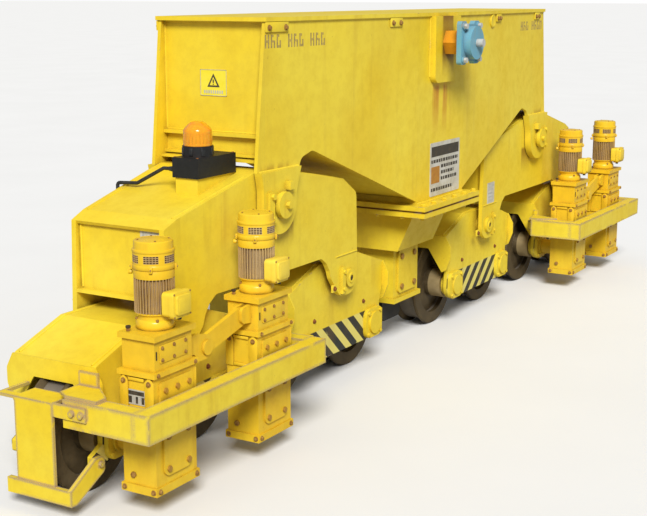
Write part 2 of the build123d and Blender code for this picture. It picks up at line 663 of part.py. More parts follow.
def wheel_set(x, driven):
    """Double flanged wheel on its axle, and the bevel wheel when it is driven."""
    half = WHEEL_HALF_WIDTH
    root = half - 36
    rim_r = TREAD_R - 60
    pieces = [turned([
        (0, -root), (HUB_R, -root), (rim_r, -48), (rim_r, -root), (TREAD_R, -root),
        (TREAD_R, root), (rim_r, root), (rim_r, 48), (HUB_R, root), (0, root)], x)]
    for way in (-1, 1):
        pieces.append(turned([
            (rim_r, way * root), (TREAD_R + 2, way * root), (FLANGE_R, way * (half - 20)),
            (FLANGE_R, way * (half - 8)), (FLANGE_R - 8, way * half), (rim_r, way * half)], x))
        pieces.append(rod_y(x, WHEEL_Z, HUB_R, way * root, way * HUB_FACE_Y))
        pieces.append(rod_y(x, WHEEL_Z, JOURNAL_R, way * HUB_FACE_Y, way * 286))
    if driven:
        bevel_y = 606.0
        pieces.append(rod_y(x, WHEEL_Z, DRIVE_SHAFT_R, -bevel_y + 18, -286))
        pieces.append(Pos(x, -bevel_y, WHEEL_Z) * Rot(90, 0, 0) * Cone(96, 124, 36))
        pieces.append(rod_y(x, WHEEL_Z, DRIVE_SHAFT_R, -GEAR_FACE_Y + GEAR_WALL, -bevel_y - 18))
    return pieces


def gear_case(wheel_x):
    """Right angle reducer casing with its cover plates and the quill on the bogie."""
    wall = GEAR_WALL
    back = -GEAR_BACK_Y
    face = -GEAR_FACE_Y
    lower = block(wheel_x - GEAR_HALF_X, wheel_x + GEAR_HALF_X, face, back, GEAR_LOW_Z, GEAR_WAIST_Z)
    foot = block(wheel_x - 186, wheel_x + 186, face - 10, back + 10, GEAR_LOW_Z, GEAR_LOW_Z + 44)
    waist = block(wheel_x - 190, wheel_x + 190, face - 16, back + 14, GEAR_WAIST_Z, GEAR_WAIST_Z + 26)
    upper = block(wheel_x - 158, wheel_x + 158, face + 6, back, GEAR_WAIST_Z + 26, 968)
    lid = block(wheel_x - 176, wheel_x + 176, face - 12, back + 14, 968, GEAR_TOP_Z)
    case = joined(lower, foot, waist, upper, lid)
    hollow_low = block(wheel_x - GEAR_HALF_X + wall, wheel_x + GEAR_HALF_X - wall,
                       face + wall, back - wall, GEAR_LOW_Z + 30, GEAR_WAIST_Z - 10)
    hollow_up = block(wheel_x - 158 + wall, wheel_x + 158 - wall,
                      face + 6 + wall, back - wall, GEAR_WAIST_Z - 10, 958)
    case = case - hollow_low - hollow_up
    case = case - rod_y(wheel_x, WHEEL_Z, DRIVE_SHAFT_R + PIN_FIT, -GEAR_FACE_Y + wall - 1, -400)
    case = case - rod_z(wheel_x, -MOTOR_Y, ROTOR_SHAFT_R + PIN_FIT, 900, 1010)
    quill = rod_y(wheel_x, WHEEL_Z, 66, back, -CAP_FACE_Y)
    quill = quill - rod_y(wheel_x, WHEEL_Z, 52, back - 5, -CAP_FACE_Y + 5)
    pieces = [case, quill]
    low_cover = plate_xz([
        (wheel_x - 118, 230, 44), (wheel_x + 118, 230, 44), (wheel_x + 118, 486, 44),
        (wheel_x - 118, 486, 44)], face - 12, face)
    mid_cover = plate_xz([
        (wheel_x - 138, 600, 24), (wheel_x + 138, 600, 24), (wheel_x + 138, 748, 24),
        (wheel_x - 138, 748, 24)], face - 12, face)
    low_bolts = [(dx, dz) for dx in (-84, 84) for dz in (270, 446)]
    mid_bolts = [(dx, 700) for dx in (-100, 0, 100)]
    for dx, dz in low_bolts:
        low_cover = low_cover + hex_y(wheel_x + dx, dz, 30, face - 24, face - 12)
    for dx, dz in mid_bolts:
        mid_cover = mid_cover + hex_y(wheel_x + dx, dz, 26, face - 24, face - 12)
    pieces.extend([low_cover, mid_cover])
    return pieces


def motor_housing(x):
    """Motor frame with end shields, cowl and terminal box."""
    y = -MOTOR_Y
    levels = [
        (99, 998, 1046), (92, 1046, 1078), (MOTOR_R, 1078, 1272), (104, 1272, 1312),
        (110, 1312, 1415), (103, 1415, 1460),
    ]
    body = None
    for radius, low, high in levels:
        ring = rod_z(x, y, radius, low, high)
        body = ring if body is None else body + ring
    crown = Pos(x, y, (1460 + MOTOR_TOP_Z) / 2) * Cone(103, 84, MOTOR_TOP_Z - 1460)
    body = body + crown
    body = body - rod_z(x, y, 72, 1070, 1290) - rod_z(x, y, 96, 1330, 1420)
    body = body - rod_z(x, y, ROTOR_SHAFT_R + PIN_FIT, 990, 1421)
    neck = block(x - 48, x + 48, y - 112, y - 84, BOX_LOW_Z + 12, BOX_TOP_Z - 12)
    case = plate_xz([
        (x - 74, BOX_LOW_Z, 12), (x + 82, BOX_LOW_Z, 12), (x + 82, BOX_TOP_Z, 12),
        (x - 74, BOX_TOP_Z, 12)], y - 190, y - 110)
    return joined(body, neck, case)


def rotor(x):
    """Motor shaft with core, fan and bevel pinion."""
    y = -MOTOR_Y
    shaft = rod_z(x, y, ROTOR_SHAFT_R, 480, 1400)
    core = rod_z(x, y, 66, 1096, 1250)
    fan = rod_z(x, y, 86, 1346, 1368)
    pinion = Pos(x, y, 501) * Cone(30, 44, 42)
    return joined(shaft, core, fan, pinion)


inner_centre = -BOGIE_PIN_INNER_X
outer_centre = -BOGIE_PIN_OUTER_X
half_spacing = WHEEL_SPACING / 2

for name, centre, driven in (("inner", inner_centre, False), ("outer", outer_centre, True)):
    sides, shell, caps = bogie(centre, driven)
    save(f"bogie_{name}_left_sides", *sides)
    save(f"bogie_{name}_left_shell", *shell)
    save(f"bogie_{name}_left_caps", *caps)
    save(f"bogie_{name}_right_sides", *[other_end(piece) for piece in sides])
    save(f"bogie_{name}_right_shell", *[other_end(piece) for piece in shell])
    save(f"bogie_{name}_right_caps", *[other_end(piece) for piece in caps])
    for number, wheel_x in ((1, centre - half_spacing), (2, centre + half_spacing)):
        wheel = wheel_set(wheel_x, driven)
        save(f"wheel_{name}_left_{number}", *wheel)
        save(f"wheel_{name}_right_{number}", *[other_end(piece) for piece in wheel])

gear_parts, motor_parts = [], []
for number, wheel_x in ((1, outer_centre - half_spacing), (2, outer_centre + half_spacing)):
    gear_parts.extend(gear_case(wheel_x))
    motor_parts.append(motor_housing(wheel_x))
    turning = rotor(wheel_x)
    save(f"rotor_left_{number}", turning)
    save(f"rotor_right_{number}", other_end(turning))

# torque link between the two reducers of one bogie
link_x = -3216.0
link_z = 815.0
case_edge_1 = outer_centre - half_spacing + 158
case_edge_2 = outer_centre + half_spacing - 158
arm = plate_xz([
    (case_edge_1, 800), (case_edge_1, 905), (link_x - 70, 905, 20), (link_x + 62, 870, 50),
    (link_x + 62, 750, 55), (link_x - 70, 750, 40), (link_x - 110, 800)], -640, -612)
arm = arm - rod_y(link_x, link_z, 30, -700, -500)
arm = arm - block(case_edge_1 - 10, case_edge_1 + 34, -700, -500, 700, GEAR_WAIST_Z + 26)
clevis_x = case_edge_2 - 66
clevis_z = 905.0
link = plate_xz([
    (link_x - 58, link_z - 50, 50), (link_x + 40, link_z - 58, 30),
    (clevis_x + 44, clevis_z - 54, 40), (clevis_x + 44, clevis_z + 40, 40),
    (clevis_x - 30, clevis_z + 46, 30), (link_x - 58, link_z + 30, 40)], -612, -586)
link = link - rod_y(link_x, link_z, 30, -700, -500) - rod_y(clevis_x, clevis_z, 26, -700, -500)
link_pin = joined(rod_y(link_x, link_z, 30, -640, -586), rod_y(link_x, link_z, 42, -656, -640))
ear = plate_xz([
    (case_edge_2, 850), (clevis_x - 30, 862, 30), (clevis_x - 30, 950, 30), (case_edge_2, 960)],
    -586, -566)
front_ear = Pos(0, -46, 0) * ear
ear_pin = rod_y(clevis_x, clevis_z, 26, -632, -566)
ear = ear - rod_y(clevis_x, clevis_z, 26, -700, -500)
front_ear = front_ear - rod_y(clevis_x, clevis_z, 26, -700, -500)
gear_parts.extend([arm, link, link_pin, ear, front_ear, ear_pin])
save("gear_cases_left", *gear_parts)
save("gear_cases_right", *[Pos(2 * BOGIE_PIN_OUTER_X, 0, 0) * piece for piece in gear_parts])
save("motor_housings_left", *motor_parts)
save("motor_housings_right", *[Pos(2 * BOGIE_PIN_OUTER_X, 0, 0) * piece for piece in motor_parts])


# ---------------------------------------------------------------- bumper frame and rail guard

def hollow_bar(x0, x1, y0, y1, z0, z1, wall=8.0):
    """A closed box section bar."""
    outer = block(x0, x1, y0, y1, z0, z1)
    inner = block(x0 + wall, x1 - wall, y0 + wall, y1 - wall, z0 + wall, z1 - wall)
    return outer - inner


low_bar = BUMPER_TOP_Z - BUMPER_HEIGHT
long_bar = hollow_bar(
    -BUMPER_OUT_X, -BUMPER_IN_X, -BUMPER_OUTER_Y, -BUMPER_OUTER_Y + BUMPER_WIDTH,
    low_bar, BUMPER_TOP_Z)
outer_cross = hollow_bar(
    -BUMPER_OUT_X, -BUMPER_OUT_X + BUMPER_WIDTH, -BUMPER_OUTER_Y + BUMPER_WIDTH, -258,
    low_bar, BUMPER_TOP_Z)
inner_cross = hollow_bar(
    -BUMPER_IN_X - BUMPER_WIDTH, -BUMPER_IN_X, -BUMPER_OUTER_Y + BUMPER_WIDTH, -345,
    low_bar, BUMPER_TOP_Z)
end_face = outer_centre - BOGIE_END_X - 2
inner_face = outer_centre + BOGIE_END_X + 2
outer_tie = block(-BUMPER_OUT_X + BUMPER_WIDTH, end_face, -330, -262, 560, 640)
outer_gusset = plate_xy([
    (-BUMPER_OUT_X + 18, -258), (-BUMPER_OUT_X + 18, -470), (-BUMPER_OUT_X + 96, -470),
    (end_face, -330), (end_face, -190), (-BUMPER_OUT_X + 60, -190)], BUMPER_TOP_Z, BUMPER_TOP_Z + 16)
upright = block(end_face - 16, end_face, -326, -196, BUMPER_TOP_Z + 16, BUMPER_TOP_Z + 92)
strap = plate_yz([
    (-420, 560), (-420, 636), (-196, 636), (-196, 560)], -BUMPER_OUT_X - 12, -BUMPER_OUT_X)
inner_gusset = plate_xy([
    (-BUMPER_IN_X, -345), (-BUMPER_IN_X - 60, -292), (inner_face, -292),
    (inner_face, -345)], 560, 640)
top_plate = plate_xy([
    (-BUMPER_IN_X, -400), (-BUMPER_IN_X - BUMPER_WIDTH, -560),
    (inner_face, -345), (inner_face, -300), (-BUMPER_IN_X, -330)], BUMPER_TOP_Z, BUMPER_TOP_Z + 14)
inner_upright = block(inner_face, inner_face + 16, -345, -300, BUMPER_TOP_Z + 14, BUMPER_TOP_Z + 60)
bumper = [
    long_bar, outer_cross, inner_cross, outer_tie, outer_gusset, upright, strap,
    inner_gusset, top_plate, inner_upright,
]
for dy in (-392, -330):
    head = Pos(-BUMPER_OUT_X - 12, dy, 598) * Rot(0, -90, 0) * Cylinder(17, 14, align=(
        Align.CENTER, Align.CENTER, Align.MIN))
    bumper.append(head)
save("bumper_left", *bumper)
save("bumper_right", *[other_end(piece) for piece in bumper])

guard_x = -3962.0
guard_y0, guard_y1 = -196.0, 70.0
guard_top_z = 630.0
guard_plate = block(guard_x, guard_x + 16, guard_y0, guard_y1, 130, guard_top_z - 16)
guard_top = block(guard_x, -3800, guard_y0, guard_y1, guard_top_z - 16, guard_top_z)
guard_bar = block(guard_x, guard_x + 57, guard_y0, -guard_y0, guard_top_z - 16, guard_top_z)
guard_tabs = [
    block(guard_x + 57, end_face, guard_y0, guard_y0 + 24, guard_top_z - 16, guard_top_z),
    block(guard_x + 57, end_face, -guard_y0 - 24, -guard_y0, guard_top_z - 16, guard_top_z),
]
sweeper = block(guard_x - 14, guard_x + 16, -316, 132, 88, 172)
arm_points = [
    (guard_x - 14, 88), (guard_x + 30, 88), (-3704, 206, 30), (-3704, 292, 30), (-3775, 292),
    (guard_x - 14, 172)]
sweep_arm = plate_xz(arm_points, -316, -BOGIE_OUTER_Y)
arm_bolt = hex_y(-3742, 252, 30, -332, -316)
guard = joined(guard_plate, guard_top, guard_bar, *guard_tabs, sweeper, sweep_arm, arm_bolt)
save("rail_guard_left", guard)
save("rail_guard_right", other_end(guard))
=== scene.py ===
from math import atan2, cos, pi, radians, sin

import bmesh
import bpy
from mathutils import Matrix, Vector


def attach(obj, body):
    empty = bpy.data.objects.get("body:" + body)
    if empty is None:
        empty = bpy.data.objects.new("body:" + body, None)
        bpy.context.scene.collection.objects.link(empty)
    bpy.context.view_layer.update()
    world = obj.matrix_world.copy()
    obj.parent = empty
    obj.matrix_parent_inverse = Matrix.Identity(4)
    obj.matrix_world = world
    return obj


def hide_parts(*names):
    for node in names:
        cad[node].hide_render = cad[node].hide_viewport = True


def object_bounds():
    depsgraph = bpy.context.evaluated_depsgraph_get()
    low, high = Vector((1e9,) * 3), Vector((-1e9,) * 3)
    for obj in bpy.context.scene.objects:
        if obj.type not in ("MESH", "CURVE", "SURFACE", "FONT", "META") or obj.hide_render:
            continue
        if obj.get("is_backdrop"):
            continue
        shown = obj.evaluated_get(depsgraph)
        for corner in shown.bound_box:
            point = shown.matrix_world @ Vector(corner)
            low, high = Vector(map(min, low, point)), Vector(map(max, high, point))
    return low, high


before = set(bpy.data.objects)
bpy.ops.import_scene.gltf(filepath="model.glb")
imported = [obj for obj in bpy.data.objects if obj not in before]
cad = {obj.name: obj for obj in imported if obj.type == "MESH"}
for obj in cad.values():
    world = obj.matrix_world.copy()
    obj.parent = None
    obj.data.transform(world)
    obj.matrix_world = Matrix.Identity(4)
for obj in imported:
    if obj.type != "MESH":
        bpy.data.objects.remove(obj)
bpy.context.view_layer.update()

scene = bpy.context.scene

# Main places of the machine, in metres
FLANGE_UNDER = 2.535
WEB_END_HALF = 0.398
WEB_MIDDLE_HALF = 0.487
WEB_TURN = 2.250
WEB_CREASE = 0.400
TRUNNION_Z = 2.345
DRIVE_Y = -0.566
OUTER_BOGIE_X = 3.083
INNER_BOGIE_X = 1.183
HALF_WHEEL_SPACING = 0.475
GEAR_FACE = -0.685
GEAR_BACK = -0.469
GEAR_HALF = 0.174
BOGIE_SIDE = 0.290
LENS_PLACE = Vector((-2.606, -0.159, 0.0))
SIDES = (("left", -1), ("right", 1))
UP = Vector((0, 0, 1))


# ---------------------------------------------------------------- shader building

def add_node(tree, kind, **settings):
    made = tree.nodes.new(kind)
    for name, value in settings.items():
        setattr(made, name, value)
    return made


def feed(tree, target, source):
    """Join a socket to another, or set it to a plain value; colours are given as red, green, blue."""
    if isinstance(source, bpy.types.NodeSocket):
        tree.links.new(source, target)
    elif target.type == "RGBA":
        target.default_value = (*source, 1.0)
    else:
        target.default_value = source


def maths(tree, operation, *sources):
    made = add_node(tree, "ShaderNodeMath", operation=operation)
    for index, source in enumerate(sources):
        feed(tree, made.inputs[index], source)
    return made.outputs[0]


def times(tree, first, second):
    return maths(tree, "MULTIPLY", first, second)


def vector_maths(tree, operation, *sources):
    made = add_node(tree, "ShaderNodeVectorMath", operation=operation)
    for index, source in enumerate(sources):
        feed(tree, made.inputs[index], source)
    single = operation in ("DOT_PRODUCT", "LENGTH", "DISTANCE")
    return made.outputs["Value" if single else "Vector"]


def fade(tree, value, start, end, low=0.0, high=1.0):
    """Smooth step from low to high as value goes from start to end."""
    made = add_node(tree, "ShaderNodeMapRange", interpolation_type="SMOOTHSTEP")
    for name, source in (("Value", value), ("From Min", start), ("From Max", end),
                         ("To Min", low), ("To Max", high)):
        feed(tree, made.inputs[name], source)
    return made.outputs["Result"]


def mix_colour(tree, factor, first, second, way="MIX"):
    made = add_node(tree, "ShaderNodeMix", data_type="RGBA", blend_type=way)
    feed(tree, made.inputs[0], factor)
    feed(tree, made.inputs[6], first)
    feed(tree, made.inputs[7], second)
    return made.outputs[2]


def tint(tree, mask, strength, colour, added):
    """A colour with another laid over it through a mask."""
    return mix_colour(tree, times(tree, mask, strength), colour, added)


def noise(tree, place, scale, detail=4.0, roughness=0.55):
    made = add_node(tree, "ShaderNodeTexNoise")
    feed(tree, made.inputs["Vector"], place)
    feed(tree, made.inputs["Scale"], scale)
    made.inputs["Detail"].default_value = detail
    made.inputs["Roughness"].default_value = roughness
    return made.outputs[0]


def stretched(tree, place, scale):
    made = add_node(tree, "ShaderNodeMapping")
    feed(tree, made.inputs["Vector"], place)
    made.inputs["Scale"].default_value = scale
    return made.outputs["Vector"]


def split(tree, vector):
    made = add_node(tree, "ShaderNodeSeparateXYZ")
    feed(tree, made.inputs[0], vector)
    return made.outputs


def own_normal(tree):
    return add_node(tree, "ShaderNodeNewGeometry").outputs["Normal"]


def new_group(name, inputs, outputs):
    """A shader group; an input with no value is a vector. Returns its tree, inputs and outputs."""
    tree = bpy.data.node_groups.new(name, "ShaderNodeTree")
    for label, value in inputs.items():
        kind = "NodeSocketVector" if value is None else "NodeSocketFloat"
        socket = tree.interface.new_socket(name=label, in_out="INPUT", socket_type=kind)
        if value is not None:
            socket.default_value = value
    for label in outputs:
        tree.interface.new_socket(name=label, in_out="OUTPUT", socket_type="NodeSocketFloat")
    return tree, tree.nodes.new("NodeGroupInput").outputs, tree.nodes.new("NodeGroupOutput").inputs


def use(tree, group, **values):
    """Place a group in a material; underscores in the names stand for spaces."""
    made = add_node(tree, "ShaderNodeGroup", node_tree=group)
    for name, source in values.items():
        feed(tree, made.inputs[name.replace("_", " ")], source)
    return made.outputs


def build_edge_wear():
    """Mask of paint rubbed off along outer edges, broken up into patches."""
    tree, given, result = new_group("edge wear", {
        "Place": None, "Reach": 0.012, "Patch Scale": 5.0, "Amount": 0.4}, ["Mask"])
    bevel = add_node(tree, "ShaderNodeBevel", samples=4)
    tree.links.new(given["Reach"], bevel.inputs["Radius"])
    flat = own_normal(tree)
    agree = vector_maths(tree, "DOT_PRODUCT", bevel.outputs["Normal"], flat)
    edge = fade(tree, maths(tree, "SUBTRACT", 1.0, agree), 0.01, 0.16)
    patch = noise(tree, given["Place"], given["Patch Scale"], 6.0, 0.7)
    start = maths(tree, "SUBTRACT", 0.78, times(tree, given["Amount"], 0.5))
    worn = fade(tree, patch, start, maths(tree, "ADD", start, 0.09))
    tree.links.new(times(tree, edge, worn), result["Mask"])
    return tree


def build_corner_soiling_and_shade():
    """Mask of soiling and painted shade in corners and between parts, darkest where the surface is most
    closed in.
    """
    tree, given, result = new_group("corner soiling and painted shade", {
        "Place": None, "Distance": 0.10, "Amount": 0.6}, ["Mask"])
    # ambient occlusion reads how closed in each point is: this paints shade into corners, recesses and
    # gaps
    hidden = add_node(tree, "ShaderNodeAmbientOcclusion", samples=5)
    tree.links.new(given["Distance"], hidden.inputs["Distance"])
    closed = maths(tree, "SUBTRACT", 1.0, hidden.outputs["AO"])
    shade_and_soiling_in_corners = fade(tree, closed, 0.18, 0.85)
    broken = fade(tree, noise(tree, given["Place"], 9.0, 5.0, 0.65), 0.3, 0.7, 0.45, 1.0)
    mask = times(tree, times(tree, shade_and_soiling_in_corners, broken), given["Amount"])
    tree.links.new(mask, result["Mask"])
    return tree


def build_run_marks():
    """Mask of dirty water runs down upright faces."""
    tree, given, result = new_group("run marks", {"Place": None, "Amount": 0.4}, ["Mask"])
    runs = noise(tree, stretched(tree, given["Place"], (9.0, 9.0, 0.5)), 1.0, 5.0, 0.6)
    broad = noise(tree, given["Place"], 1.3, 2.0, 0.5)
    upward = split(tree, own_normal(tree))[2]
    upright = fade(tree, maths(tree, "ABSOLUTE", upward), 0.2, 0.7, 1.0, 0.0)
    mask = times(tree, fade(tree, runs, 0.5, 0.72), fade(tree, broad, 0.35, 0.65))
    mask = times(tree, times(tree, mask, upright), given["Amount"])
    tree.links.new(mask, result["Mask"])
    return tree


def build_mottle():
    """Broad and fine changes of tone."""
    tree, given, result = new_group("mottle", {"Place": None}, ["Broad", "Fine", "Specks"])
    for label, scale, detail, roughness, start, end in (
            ("Broad", 1.1, 4.0, 0.55, 0.3, 0.7), ("Fine", 12.0, 6.0, 0.7, 0.35, 0.7),
            ("Specks", 34.0, 3.0, 0.6, 0.70, 0.78)):
        tone = noise(tree, given["Place"], scale, detail, roughness)
        tree.links.new(fade(tree, tone, start, end), result[label])
    return tree


def build_region():
    """Mask of a soft edged box around a centre."""
    tree, given, result = new_group("region", {
        "Place": None, "Centre": None, "Half": None, "Soft": 0.3}, ["Mask"])
    away = vector_maths(tree, "ABSOLUTE", vector_maths(
        tree, "SUBTRACT", given["Place"], given["Centre"]))
    share = split(tree, vector_maths(tree, "DIVIDE", away, given["Half"]))
    inner = maths(tree, "SUBTRACT", 1.0, given["Soft"])
    mask = None
    for axis in range(3):
        one = fade(tree, share[axis], inner, 1.0, 1.0, 0.0)
        mask = one if mask is None else times(tree, mask, one)
    tree.links.new(mask, result["Mask"])
    return tree


EDGE_WEAR = build_edge_wear()
CORNER_SOILING_AND_SHADE = build_corner_soiling_and_shade()
RUN_MARKS = build_run_marks()
MOTTLE = build_mottle()
REGION = build_region()

YELLOW = (0.85, 0.62, 0.024)
YELLOW_FADED = (0.88, 0.70, 0.055)
DRIVE_YELLOW = (0.84, 0.53, 0.018)
DRIVE_YELLOW_FADED = (0.87, 0.62, 0.040)
PRIMER = (0.34, 0.25, 0.19)
# dark brown for soiling, also laid into corners and gaps as painted shade
SOILING_AND_SHADE_BROWN = (0.13, 0.055, 0.010)
RUN_BROWN = (0.42, 0.22, 0.02)
RUST = (0.42, 0.10, 0.015)
DARK_RUST = (0.16, 0.035, 0.010)
BOLT_BROWN = (0.34, 0.165, 0.040)
STRIPE_BLACK = (0.032, 0.034, 0.030)
STRIPE_PALE = (0.78, 0.68, 0.17)


def new_material(name):
    """A material with its Principled shader and the piece's own coordinates."""
    made = bpy.data.materials.new(name)
    made.use_nodes = True
    tree = made.node_tree
    shader = tree.nodes["Principled BSDF"]
    place = add_node(tree, "ShaderNodeTexCoord").outputs["Object"]
    return made, tree, shader, place


def add_relief(tree, shader, height, depth, strength=0.5):
    bump = add_node(tree, "ShaderNodeBump")
    bump.inputs["Distance"].default_value = depth
    bump.inputs["Strength"].default_value = strength
    tree.links.new(height, bump.inputs["Height"])
    tree.links.new(bump.outputs["Normal"], shader.inputs["Normal"])


def runs_below(tree, place, colour, centre, half, scale, start, strength, added):
    """A colour with runs of another in a region, strongest at its top."""
    region = use(tree, REGION, Place=place, Centre=centre, Half=half, Soft=0.25)["Mask"]
    lines = noise(tree, stretched(tree, place, (scale, 0.0, 0.7)), 1.0, 3.0, 0.5)
    height = split(tree, place)[2]
    low = centre[2] - half[2]
    falling = fade(tree, height, low, low + 2 * half[2], 0.0, 1.0)
    mask = times(tree, times(tree, region, fade(tree, lines, start, start + 0.16)), falling)
    return tint(tree, mask, strength, colour, added)


def paint(name, base=YELLOW, faded=YELLOW_FADED, wear=0.35, soiling_and_shade_amount=0.6, runs=0.3, rough=0.40,
          reach=0.012, patch=5.0, distance=0.10, marks=None):
    """Worn gloss paint over steel, with optional marks of its own."""
    made, tree, shader, place = new_material(name)
    mottle = use(tree, MOTTLE, Place=place)
    colour = mix_colour(tree, mottle["Broad"], base, faded)
    colour = tint(tree, mottle["Fine"], 0.16, colour, RUN_BROWN)
    if marks:
        colour = marks(tree, place, colour)
    run_mask = use(tree, RUN_MARKS, Place=place, Amount=runs)["Mask"]
    colour = mix_colour(tree, run_mask, colour, RUN_BROWN)
    # soiling and painted shade: dark brown laid into corners, recesses and gaps between parts
    soiling_and_shade = use(tree, CORNER_SOILING_AND_SHADE, Place=place, Distance=distance, Amount=soiling_and_shade_amount)["Mask"]
    colour = mix_colour(tree, soiling_and_shade, colour, SOILING_AND_SHADE_BROWN)
    colour = tint(tree, mottle["Specks"], 0.25, colour, DARK_RUST)
    worn = use(tree, EDGE_WEAR, Place=place, Reach=reach, Patch_Scale=patch, Amount=wear)["Mask"]
    colour = mix_colour(tree, worn, colour, PRIMER)
    tree.links.new(colour, shader.inputs["Base Color"])
    dull = maths(tree, "ADD", times(tree, soiling_and_shade, 0.35), times(tree, worn, 0.2))
    tone = maths(tree, "ADD", dull, times(tree, mottle["Fine"], 0.14))
    tree.links.new(maths(tree, "ADD", tone, rough), shader.inputs["Roughness"])
    shader.inputs["Specular IOR Level"].default_value = 0.32
    height = maths(tree, "SUBTRACT", times(tree, mottle["Fine"], 0.3), worn)
    add_relief(tree, shader, height, 0.0012, 0.5)
    return made


def web_marks(tree, place, colour):
    """Rust runs below the trunnion plates and beside the main lugs."""
    for side in (-1, 1):
        colour = runs_below(tree, place, colour, (0.02, side * 0.49, 1.83), (0.22, 0.06, 0.235),
                            13.0, 0.40, 0.8, (0.52, 0.15, 0.012))
        for x in (-2.133, 2.133):
            colour = runs_below(tree, place, colour, (x - 0.02, side * 0.42, 1.46),
                                (0.17, 0.06, 0.24), 12.0, 0.38, 0.5, DARK_RUST)
    broad = noise(tree, place, 0.8, 3.0, 0.6)
    shade = times(tree, fade(tree, broad, 0.45, 0.7), 0.20)
    return mix_colour(tree, shade, colour, (0.55, 0.33, 0.02))


def equaliser_marks(tree, place, colour):
    """Rust that runs out from behind the beam lugs."""
    for side in (-1, 1):
        for x in (-1.99, 1.99):
            colour = runs_below(tree, place, colour, (x, side * 0.37, 1.24), (0.11, 0.05, 0.13),
                                12.0, 0.30, 0.75, DARK_RUST)
    return colour


def trunnion_marks(tree, place, colour):
    """Oil stains running down its plate from the stub, and the plate darker all round the stub."""
    for side in (-1, 1):
        colour = runs_below(tree, place, colour, (-0.01, side * 0.53, 2.45), (0.10, 0.06, 0.12),
                            9.0, 0.20, 0.85, DARK_RUST)
        colour = runs_below(tree, place, colour, (0.0, side * 0.53, 2.20), (0.11, 0.06, 0.15),
                            9.0, 0.20, 0.95, SOILING_AND_SHADE_BROWN)
        # the plate darker all round the stub
        sides = use(tree, REGION, Place=place, Centre=(0.0, side * 0.53, TRUNNION_Z),
                    Half=(0.14, 0.06, 0.16), Soft=0.6)["Mask"]
        colour = tint(tree, sides, 0.6, colour, SOILING_AND_SHADE_BROWN)
    return colour


def stripe_marks(direction):
    """Slanted warning stripes along the lower band of a bogie side plate."""
    def marks(tree, place, colour):
        x, y, z = split(tree, place)
        slant = maths(tree, "ADD", times(tree, x, direction), times(tree, z, 1.10))
        turn = maths(tree, "FRACT", maths(tree, "DIVIDE", slant, 0.172))
        dark = fade(tree, maths(tree, "ABSOLUTE", maths(tree, "SUBTRACT", turn, 0.5)), 0.235, 0.255)
        rubbed = fade(tree, noise(tree, place, 7.0, 6.0, 0.7), 0.60, 0.68, 1.0, 0.25)
        band = times(tree, fade(tree, z, 0.448, 0.456, 1.0, 0.0),
                     fade(tree, maths(tree, "ABSOLUTE", y), 0.285, 0.288))
        stripes = mix_colour(tree, times(tree, dark, rubbed), STRIPE_PALE, STRIPE_BLACK)
        colour = mix_colour(tree, band, colour, stripes)
        spots = fade(tree, noise(tree, place, 3.4, 2.0, 0.4), 0.70, 0.76)
        return tint(tree, spots, 0.55, colour, RUST)
    return marks


def joint_marks(tree, place, colour):
    """Rust in the gap between the two joint plates and under the webs."""
    z = split(tree, place)[2]
    gap = maths(tree, "SUBTRACT", 1.0, fade(tree, maths(tree, "ABSOLUTE", maths(
        tree, "SUBTRACT", z, 1.143)), 0.003, 0.012))
    return tint(tree, gap, 0.85, colour, DARK_RUST)


def drive_marks(tree, place, colour):
    """Orange brown oil film low on the drives."""
    film = fade(tree, noise(tree, stretched(tree, place, (6.0, 6.0, 1.2)), 1.0, 4.0, 0.6), 0.45, 0.75)
    return tint(tree, film, 0.30, colour, (0.60, 0.27, 0.012))


def gear_marks(tree, place, colour):
    """Oil film, and browned bolt heads on the front covers."""
    colour = drive_marks(tree, place, colour)
    x, y, z = split(tree, place)
    heads = times(tree, fade(tree, y, -0.6990, -0.6980, 1.0, 0.0),
                  fade(tree, z, 0.760, 0.765, 1.0, 0.0))
    return tint(tree, heads, 0.85, colour, BOLT_BROWN)


def clamp_marks(tree, place, colour):
    """Browned bolt heads on the clamp covers."""
    y = maths(tree, "ABSOLUTE", split(tree, place)[1])
    heads = times(tree, fade(tree, y, 0.2245, 0.2250), 0.9)
    low = fade(tree, split(tree, place)[2], 0.405, 0.410)
    return mix_colour(tree, times(tree, heads, low), colour, BOLT_BROWN)


def case_marks(tree, place, colour):
    """Black plastic case above its yellow saddle."""
    case = fade(tree, split(tree, place)[2], 1.6445, 1.6450)
    black = mix_colour(tree, noise(tree, place, 30.0), (0.008, 0.009, 0.010),
                       (0.020, 0.021, 0.023))
    return mix_colour(tree, case, colour, black)


def steel(name, base, second, rough=0.5, metallic=0.6, wear=0.0, soiling_and_shade_amount=0.5, scale=20.0, marks=None):
    """Bare or oiled steel."""
    made, tree, shader, place = new_material(name)
    patch = fade(tree, noise(tree, place, scale, 6.0, 0.65), 0.35, 0.68)
    colour = mix_colour(tree, patch, base, second)
    if marks:
        colour = marks(tree, place, colour)
    # near black soiling and painted shade in corners and recesses
    soiling_and_shade = use(tree, CORNER_SOILING_AND_SHADE, Place=place, Distance=0.06, Amount=soiling_and_shade_amount)["Mask"]
    colour = mix_colour(tree, soiling_and_shade, colour, (0.03, 0.018, 0.008))
    if wear:
        worn = use(tree, EDGE_WEAR, Place=place, Reach=0.006, Patch_Scale=9.0, Amount=wear)["Mask"]
        colour = mix_colour(tree, worn, colour, (0.45, 0.38, 0.30))
    tree.links.new(colour, shader.inputs["Base Color"])
    shader.inputs["Metallic"].default_value = metallic
    tree.links.new(maths(tree, "ADD", times(tree, patch, 0.18), rough),
                   shader.inputs["Roughness"])
    add_relief(tree, shader, patch, 0.0008, 0.4)
    return made


